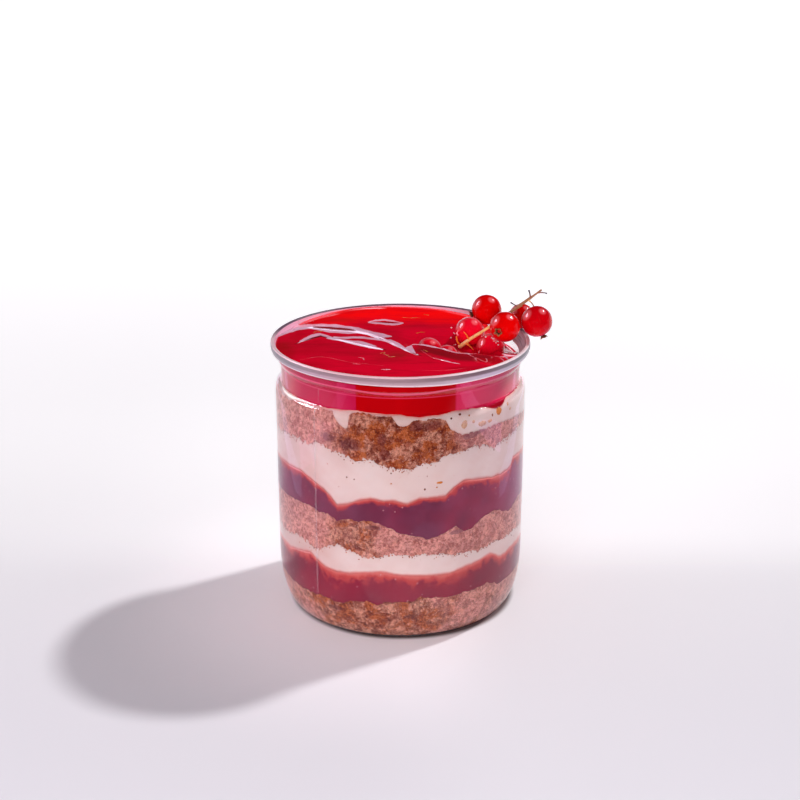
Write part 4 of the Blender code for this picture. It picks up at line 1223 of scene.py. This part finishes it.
def lumps(places, sizes, seed, rough=0.25, sides=8, flat=None):
    # Small closed balls: each ring's radius is bent by seeded waves. flat is how much each
    # is squeezed along x, y and z.
    draw = np.random.default_rng(seed)
    count = len(places)
    polar = np.linspace(0.25, math.pi - 0.25, 5)[:, None]
    turn = np.linspace(0.0, fullTurn, sides, endpoint=False)[None]
    ball = np.stack((np.sin(polar) * np.cos(turn), np.sin(polar) * np.sin(turn),
                     np.cos(polar) * np.ones_like(turn)), -1)
    bend = 1.0 + rough * draw.uniform(-1.0, 1.0, (count, 5, sides, 1))
    grids = ball[None] * bend * np.asarray(sizes).reshape(-1, 1, 1, 1)
    if flat is not None:
        grids = grids * np.asarray(flat).reshape(-1, 1, 1, 3)
    grids += np.asarray(places).reshape(-1, 1, 1, 3)
    return [gridShape(grid, capFirst=True, capLast=True, tone=shade, depth=0.0, smear=0.2, stain=0.0)
            for grid, shade in zip(grids, draw.uniform(0.0, 1.0, count))]


def strayCrumbs():
    # Grains that hang from the crumb layers into the cream below, thinning with distance,
    # and a few loose bits in the cream
    draw = np.random.default_rng(17)
    places, sizes = [], []
    for name, count, drop in (("cream_lower", 620, 0.9), ("cream_upper", 720, 1.1)):
        angle = draw.uniform(-180.0, 180.0, count)
        size = draw.uniform(0.08, 0.24, count)
        height = np.interp(angle, turns, edgeHeights(name)[0]) - draw.exponential(drop * 0.45, count)
        places.append(around(wallInside(height) + 0.02, angle, height))
        sizes.append(size)
    loose = draw.uniform(-180.0, 180.0, 26)
    height = draw.uniform(46.5, 55.0, 26)
    places.append(around(jar["bodyRadius"] - jar["wall"] + 0.02, loose, height))
    sizes.append(draw.uniform(0.1, 0.2, 26))
    return lumps(np.concatenate(places), np.concatenate(sizes), 4, sides=6)


def creamStreak():
    # A streak of cream squeezed up under the neck at the left: a tube that thins to both ends
    angle = np.linspace(-74.0, -43.0, 60)
    height = np.interp(angle, (-74.0, -66.0, -58.0, -50.0, -43.0), (69.15, 68.95, 68.9, 69.2, 69.3))
    half = np.interp(angle, (-74.0, -68.0, -61.0, -55.0, -50.0, -43.0), (0.15, 0.42, 0.62, 0.40, 0.16, 0.08))
    half = half * (1.0 + 0.12 * np.sin(0.9 * angle) * np.sin(0.37 * angle))
    return tubeShape(around(wallInside(height) + 0.05, angle, height), half, 12, along=angle)


def streakFinish():
    # White cream with a painted glow
    finish = Finish("whiteCream", {"Roughness": 0.4, "Emission Strength": 1.0})
    cloud = finish.noise(2.0, 3.0)
    finish.set("Base Color", finish.mix(cloud, (0.96, 0.88, 0.82), (1.0, 0.97, 0.92)))
    # Painted glow
    finish.set("Emission Color", finish.mix(cloud, (0.16, 0.14, 0.12), (0.26, 0.24, 0.22)))
    return finish


# Larger bits pressed against the wall: angle, height, half width, half height, and how light
bits = ((28.8, 65.7, 1.05, 1.25, 1.0), (38.4, 64.8, 1.45, 0.80, 0.95), (33.6, 66.0, 0.5, 0.5, 0.9),
        (49.0, 66.8, 1.35, 1.15, 0.5), (26.9, 68.6, 0.40, 0.34, 0.1), (22.5, 68.0, 0.30, 0.30, 0.1),
        (31.4, 68.0, 0.26, 0.24, 0.3), (17.3, 49.6, 1.0, 0.34, 0.6), (10.7, 48.0, 0.28, 0.30, 0.1),
        (16.1, 48.3, 0.26, 0.20, 0.4), (44.5, 66.4, 0.28, 0.45, 0.2), (-24.0, 50.6, 0.20, 0.24, 0.2),
        (-20.5, 50.3, 0.18, 0.20, 0.2), (-4.0, 49.9, 0.26, 0.18, 0.4), (-4.0, 53.0, 0.18, 0.20, 0.1),
        (43.0, 64.9, 0.9, 0.5, 0.8), (56.0, 67.6, 0.5, 0.5, 0.8), (58.0, 66.0, 0.6, 0.4, 0.9))


def wallBits():
    # Flattened balls with their middle on the inside of the wall, turned to face outwards
    shapes = []
    for count, (angle, height, wide, high, light) in enumerate(bits):
        shape = lumps([(0.0, 0.0, 0.0)], [1.0], 60 + count, 0.16, 14, [(wide, 0.22, high)])[0]
        turn = math.radians(angle)
        spin = np.array(((math.cos(turn), math.sin(turn), 0.0), (-math.sin(turn), math.cos(turn), 0.0),
                         (0.0, 0.0, 1.0)))
        shape["points"] = shape["points"] @ spin + around(wallInside(height) + 0.10, angle, height)
        shape["values"]["tone"][:] = light
        shapes.append(shape)
    return shapes


def bitFinish():
    # Toasted bits from dark brown through orange to pale tan, speckled
    finish = Finish("toastedBit", {"Roughness": 0.6, "Specular IOR Level": 0.15})
    tone, fleck = finish.value("tone"), finish.noise(0.5, 3.0, 0.65)
    shade = finish.mix(tone.between(0.1, 0.5), (0.14, 0.030, 0.020), (0.76, 0.25, 0.030))
    shade = finish.mix(tone.between(0.55, 0.95), shade, (0.74, 0.45, 0.31))
    finish.set("Base Color", finish.mix(fleck.between(0.45, 0.7) * 0.5, shade, (0.40, 0.11, 0.030)))
    finish.set("Normal", finish.bump(fleck, 0.08, 0.8))
    return finish


# Bubbles lie on the jelly, as (x, y), or on the glazed currant, as (x, y, z)
bubbleSpots = {
    "besideLeftBerry": ((15.5, 14.2), (16.5, 10.4), (17.0, 7.4), (15.2, 8.4), (16.4, 4.6), (18.0, 2.2)),
    "besideSunkBerry": ((4.7, 3.0), (5.2, 1.0), (15.8, 0.5), (17.4, -2.4), (16.0, -5.0), (22.2, -3.8)),
    "onGlazedBerry": ((27.3, -2.8, 81.5), (27.9, -3.6, 80.6), (27.1, -1.6, 82.1), (28.5, -3.7, 80.0),
                      (27.6, -3.3, 81.1), (25.0, -1.8, 81.8), (28.2, -3.2, 80.9), (26.7, -2.4, 81.8)),
}


def bubbleShapes():
    # Tiny domes beside and on the currants, each with a second, smaller one near it
    draw = np.random.default_rng(23)
    spots = np.array([spot if len(spot) == 3 else (*spot, jellyHeight(*np.array(spot)))
                      for group in bubbleSpots.values() for spot in group], float)
    nearby = spots + draw.uniform(-0.5, 0.5, spots.shape) * (1.0, 1.0, 0.3)
    spots = np.concatenate((spots, nearby)) + (0.0, 0.0, 0.05)
    sizes = np.concatenate((draw.uniform(0.15, 0.26, len(nearby)), draw.uniform(0.09, 0.16, len(nearby))))
    return lumps(spots, sizes, 8, 0.03, 12)


def bubbleFinish():
    # Pale pink glassy bubbles
    finish = Finish("jellyBubble", {"Roughness": 0.08, "Specular IOR Level": 0.6})
    finish.set("Base Color", finish.mix(finish.noise(0.4).between(0.3, 0.6),
                                        (0.92, 0.36, 0.44), (1.0, 0.82, 0.86)))
    return finish


pulpSpots = (((-4.0, -13.4), 1.6, -0.9), ((-2.4, -15.3), 1.3, 0.2), ((-5.0, -11.6), 0.9, 0.7),
             ((8.2, 28.4), 1.0, 0.1), ((3.4, 25.0), 3.3, 0.0), ((6.1, 11.2), 1.6, 0.25),
             ((-24.5, 8.0), 2.0, 0.5), ((7.3, -9.5), 1.4, -1.0))


def pulpShapes():
    # Thin fruit threads just under the surface: short flat tubes
    shapes = []
    for (x, y), long, way in pulpSpots:
        step = np.linspace(-1.0, 1.0, 14)
        px = x + step * long * math.cos(way) + 0.15 * np.sin(4.0 * step)
        py = y + step * long * math.sin(way) + 0.2 * np.cos(5.0 * step + x)
        path = np.stack((px, py, jellyHeight(px, py) - 0.02), -1)
        width = 0.18 * np.sqrt(np.maximum(1.02 - step ** 2, 0.02)) * (1.0 + 0.4 * np.sin(7.0 * step))
        shapes.append(tubeShape(path, width, 8, 0.35, along=(step + 1.0) / 2.0))
    return shapes


def pulpFinish():
    # Amber fruit fibres seen through red jelly
    finish = Finish("fruitFibre", {"Roughness": 0.2, "Specular IOR Level": 0.4})
    finish.set("Base Color", finish.mix(finish.noise(0.8, 3.0), (0.50, 0.05, 0.01), (0.66, 0.24, 0.04)))
    return finish


# Fine creases on the jelly: (x, y) points, half width, height, and how strong a painted glint each end
# carries

creases = (
    (((-0.1, -3.4), (3.4, -4.2), (7.0, -5.2), (10.2, -7.3), (12.6, -9.2), (15.9, -12.4), (18.7, -13.2),
      (20.8, -13.5)), 0.30, 0.20, (0.95, 0.65)),
    (((19.3, -13.6), (21.5, -16.5), (23.9, -20.0), (24.4, -18.2), (24.1, -16.5)), 0.20, 0.10, (0.25, 0.5)),
    (((20.8, -13.6), (23.0, -12.0), (25.4, -11.4), (27.6, -12.4)), 0.30, 0.18, (0.35, 0.95)),
    (((5.7, -8.3), (8.6, -15.2), (11.1, -17.8), (14.2, -20.4), (16.7, -22.0)), 0.26, 0.14, (0.10, 1.0)),
    (((30.1, -2.4), (32.0, -7.0), (33.7, -12.0)), 0.26, 0.14, (0.6, 0.3)),
    (((29.5, -13.0), (30.2, -16.2), (30.8, -18.6)), 0.26, 0.14, (0.9, 0.5)),
    (((27.2, -13.4), (28.6, -17.0), (29.4, -20.0)), 0.20, 0.10, (0.3, 0.5)),
    (((-28.2, -18.3), (-22.2, -15.5), (-14.1, -20.1), (-4.3, -23.8)), 0.14, 0.05, (0.22, 0.12)),
    (((6.0, -27.5), (12.0, -27.8), (18.5, -25.5)), 0.14, 0.05, (0.16, 0.22)),
    (((-5.3, -27.0), (-4.0, -27.2), (-2.6, -27.0)), 0.26, 0.12, (0.6, 0.9)),
    (((-12.0, -15.6), (-10.6, -16.6), (-10.2, -18.4)), 0.16, 0.08, (0.3, 0.5)),
    (((-13.4, -21.6), (-12.0, -21.9), (-11.0, -22.6)), 0.14, 0.08, (0.5, 0.3)),
    (((4.6, -1.6), (3.8, 0.8), (4.4, 2.6)), 0.22, 0.12, (0.5, 0.8)),
)


def creaseShapes():
    # Low rounded folds laid along the jelly, thinning to both ends, their painted glint uneven
    shapes = []
    for line, half, high, glints in creases:
        count = 16 * len(line)
        path = curveThrough(line, count)
        step = np.linspace(0.0, 1.0, count)
        taper = np.sqrt(np.maximum(np.sin(math.pi * step), 0.0)) + 0.03
        centre = np.stack((path[:, 0], path[:, 1], jellyHeight(path[:, 0], path[:, 1])), -1)
        waver = 1.0 + 0.25 * np.sin(23.0 * step + line[0][0])
        glint = np.interp(step, (0.0, 0.35, 0.65, 1.0), (glints[0], glints[0], glints[1], glints[1]))
        glint = glint * (0.85 + 0.15 * np.sin(41.0 * step + line[0][1]))
        shapes.append(tubeShape(centre, half * taper * waver, 10, high / half, depth=step * 0.0,
                                shade=step * 0.0, murk=step * 0.0, sheen=np.clip(glint, 0.0, 1.0)))
    return shapes


# Floor, world and lamps

floorStage = {"rings": (20.0, 200.0, 1000.0, 3000.0, 9000.0), "drop": 0.02,
              "front": (0.775, 0.76, 0.805), "back": (0.99, 0.985, 0.99)}


def makeFloor():
    # A wide disc just under the base
    turn = np.linspace(0.0, 360.0, 64, endpoint=False)[None]
    grid = around(np.array(floorStage["rings"])[:, None], turn, -floorStage["drop"])
    shape = gridShape(grid, capFirst=True)
    mesh = bpy.data.meshes.new("paleFloor")
    faces = shape["quads"].tolist() + shape["fans"].tolist()
    mesh.from_pydata((shape["points"] * mm).tolist(), [], faces)
    floor = bpy.data.objects.new("paleFloor", mesh)
    bpy.context.scene.collection.objects.link(floor)
    finish = Finish("palePaper", {"Roughness": 0.75, "Specular IOR Level": 0.1})
    front = finish.axis(1)
    across = finish.axis(0)
    tone = finish.mix(front.between(-0.12, 0.12), floorStage["front"], floorStage["back"])
    grainy = finish.noise(0.8, 2.0)
    distance = finish.node("ShaderNodeVectorMath", {"operation": "LENGTH"},
                           {0: finish.place()}, "Value")
    # A painted contact shadow darkens the strip where the jar's foot curves up from it and takes its glow
    # away
    contactShadow = 1.0 - (distance - across.between(0.0, 0.03) * 0.0012).between(0.0322, 0.0345)
    tone = finish.mix(grainy * 0.02, tone, (0.7, 0.7, 0.72))
    finish.set("Base Color", finish.mix(contactShadow * 0.9, tone, (0.10, 0.040, 0.038)))
    # Painted light: a glow behind the jar, stronger further back, at the left and at the right
    behind = front.between(0.0, 0.045) * (0.06 + (1.0 - distance.between(0.05, 0.25)) * 0.10)
    behind = behind * (0.45 + across.between(-0.13, -0.03) * 0.55) + front.between(0.05, 0.6) * 0.26
    behind = behind + front.between(0.03, 0.16) * 0.085 + across.between(-0.02, 0.035) * 0.05
    glow = finish.mix(behind, (0.0, 0.0, 0.0), (1.0, 1.0, 1.0))
    # Painted light near the base, except at the right
    close = (1.0 - distance.between(0.036, 0.100)) * (1.0 - across.between(0.0, 0.035))
    near = finish.mix(close, (0.0, 0.0, 0.0), (0.17, 0.14, 0.15))
    finish.set("Emission Color", finish.mix(contactShadow, finish.mix(1.0, glow, near, "ADD"), (0.0, 0.0, 0.0)))
    finish.set("Emission Strength", 1.0)
    # Mirrors see a lilac table that fades to darkness towards the front
    table = finish.mix(front.between(-0.19, -0.07), (0.0, 0.0, 0.0), (0.60, 0.50, 0.66))
    table = finish.node("ShaderNodeEmission", None, {"Color": table})
    mirrored = finish.node("ShaderNodeLightPath", output="Is Glossy Ray")
    nearFront = (1.0 - front.between(0.03, 0.12)) * distance.between(0.07, 0.13)
    shown = finish.node("ShaderNodeMixShader", None,
                        {0: mirrored * nearFront, 1: Wire(finish, finish.shader.outputs[0]), 2: table})
    finish.feed(finish.exit.inputs["Surface"], shown)
    mesh.materials.append(finish.material)


room = {"paper": (0.93, 0.925, 0.94), "fill": (0.30, 0.278, 0.305), "band": (0.80, 0.70, 0.86),
        "dark": (0.010, 0.006, 0.010), "bandEnds": (0.13, 0.20), "frontEnds": (-0.15, -0.35)}


def makeWorld():
    # The camera sees pale paper, rough surfaces get an even fill, and mirrors see a pale
    # band up to 9 degrees over the horizon, all but in front, with darkness above it
    world = bpy.data.worlds.new("studio")
    bpy.context.scene.world = world
    world.use_nodes = True
    tree = world.node_tree
    tree.nodes.clear()
    exit = tree.nodes.new("ShaderNodeOutputWorld")

    def background(colour):
        shade = tree.nodes.new("ShaderNodeBackground")
        shade.inputs[0].default_value = (*colour, 1.0)
        return shade

    def choose(factor, first, second):
        mixer = tree.nodes.new("ShaderNodeMixShader")
        tree.links.new(factor, mixer.inputs[0])
        tree.links.new(first.outputs[0], mixer.inputs[1])
        tree.links.new(second.outputs[0], mixer.inputs[2])
        return mixer

    path = tree.nodes.new("ShaderNodeLightPath")
    way = tree.nodes.new("ShaderNodeTexCoord")
    parts = tree.nodes.new("ShaderNodeSeparateXYZ")
    tree.links.new(way.outputs["Generated"], parts.inputs[0])
    band = tree.nodes.new("ShaderNodeMapRange")
    band.interpolation_type = "SMOOTHSTEP"
    band.inputs["From Min"].default_value, band.inputs["From Max"].default_value = room["bandEnds"]
    tree.links.new(parts.outputs[2], band.inputs["Value"])
    side = tree.nodes.new("ShaderNodeMapRange")
    side.inputs["From Min"].default_value, side.inputs["From Max"].default_value = room["frontEnds"]
    tree.links.new(parts.outputs[1], side.inputs["Value"])
    dark = background(room["dark"])
    mirrored = choose(band.outputs[0], choose(side.outputs[0], background(room["band"]), dark), dark)
    lit = choose(path.outputs["Is Diffuse Ray"], mirrored, background(room["fill"]))
    seen = choose(path.outputs["Is Camera Ray"], lit, background(room["paper"]))
    tree.links.new(seen.outputs[0], exit.inputs[0])


def aim(lamp, place, target, roll=0.0):
    # Turns a lamp's -Z axis from its place to a target, and the lamp about that axis
    way = np.array(target, float) - np.array(place, float)
    flat = math.hypot(way[0], way[1])
    lamp.location = np.array(place) * mm
    turned = Euler((math.atan2(flat, -way[2]), 0.0, math.atan2(-way[0], way[1]) if flat else 0.0))
    spun = turned.to_matrix() @ Matrix.Rotation(math.radians(roll), 3, "Z")
    lamp.rotation_euler = spun.to_euler()


lamps = {
    "key": {"kind": "SUN", "place": (600, 380, 812), "power": 1.76, "colour": (1.0, 0.99, 1.0)},
    "frontFill": {"kind": "AREA", "place": (-110, -640, 170), "target": (0, 0, 45), "size": (480, 240),
                  "power": 3.35, "colour": (1.0, 0.96, 0.97), "mirrored": False},
    "leftWindow": {"kind": "AREA", "place": (-520, 150, 430), "target": (0, 0, 80), "size": (230, 260),
                   "power": 6.0, "colour": (0.90, 0.84, 1.0), "mirrored": True},
    "leftPanel": {"kind": "AREA", "place": (-120, -76, 28), "target": (0, -76, 28), "size": (156, 11),
                  "roll": 8.9, "power": 0.0050, "colour": (0.62, 0.18, 0.46), "mirrored": True},
    "rightPanel": {"kind": "AREA", "place": (120, -55, 31.5), "target": (0, -55, 31.5), "size": (113, 11),
                   "roll": -8.9, "power": 0.0054, "colour": (0.66, 0.35, 0.80), "mirrored": True},
    "leftRearPanel": {"kind": "AREA", "place": (-120, 100, 26), "target": (0, 100, 26), "size": (206, 14),
                      "roll": -13.0, "power": 0.0091, "colour": (0.34, 0.36, 0.60), "mirrored": True},
    "rightRearPanel": {"kind": "AREA", "place": (120, 100, 26), "target": (0, 100, 26), "size": (206, 14),
                       "roll": 13.0, "power": 0.0091, "colour": (0.34, 0.36, 0.60), "mirrored": True},
    "backPanel": {"kind": "AREA", "place": (0, 1500, 135), "target": (0, 0, 80), "size": (1700, 230),
                  "power": 1.5, "colour": (0.86, 0.80, 1.0), "mirrored": True},
}


def makeLamps():
    for name, lamp in lamps.items():
        data = bpy.data.lights.new(name, lamp["kind"])
        data.color = lamp["colour"]
        data.energy = lamp["power"]
        item = bpy.data.objects.new(name, data)
        if lamp["kind"] == "SUN":
            data.angle = math.radians(4.0)
        else:
            data.shape = "RECTANGLE"
            data.size, data.size_y = (side * mm for side in lamp["size"])
            item.visible_glossy = lamp["mirrored"]
            item.visible_diffuse = not lamp["mirrored"]
        item.visible_camera = False
        item.visible_transmission = False
        aim(item, lamp["place"], lamp.get("target", (0, 0, 0)), lamp.get("roll", 0.0))
        bpy.context.scene.collection.objects.link(item)


# Building

makeCamera()
makeFloor()
makeWorld()
makeLamps()
print("stage ready")

buildPiece("jarWall", [makeJar()], jarFinish(), ("jar",))
buildPiece("mouldSeam", seamShapes(), seamFinish())
buildPiece("rimSeam", [makeRim()], rimFinish(), ("rim_ring",))

finishes = {"crumb": crumbFinish(), "cream": creamFinish(), "jam": jamFinish()}
under = (np.full(layerColumns, jar["floor"] + 0.55), jar["floor"] + 0.55)
for name, layer in layers.items():
    over = edgeHeights(name)
    food, level = name.split("_")
    pieceName = food + level.title() + "Layer"
    buildPiece(pieceName, [layerShape(name, under, over)], finishes[layer["kind"]],
               (name,))
    under = over
buildPiece("strayCrumbs", strayCrumbs(), finishes["crumb"])
buildPiece("wallBits", wallBits(), bitFinish())
buildPiece("creamStreak", [creamStreak()], streakFinish())

jellyRed = jellyFinish()
buildPiece("redJelly", [makeJelly()], jellyRed, ("jelly",))
buildPiece("jellyCreases", creaseShapes(), jellyRed)
buildPiece("jellyBubbles", bubbleShapes(), bubbleFinish())
buildPiece("fruitFibres", pulpShapes(), pulpFinish())

skin, dry = berryFinish(), flowerFinish()
for name in berries:
    buildPiece(name.replace("berry_", "currant_"), [berryShape(name)], skin, (name,))
    if name not in sunkBerries:
        buildPiece(name.replace("berry_", "flower_"), [flowerShape(name, 1.3)], dry)
buildPiece("sprigStem", stemShapes(), stemFinish(), ("stem",))

scene = bpy.context.scene
scene.view_settings.view_transform = "Standard"
scene.view_settings.look = "None"
scene.cycles.use_denoising = True
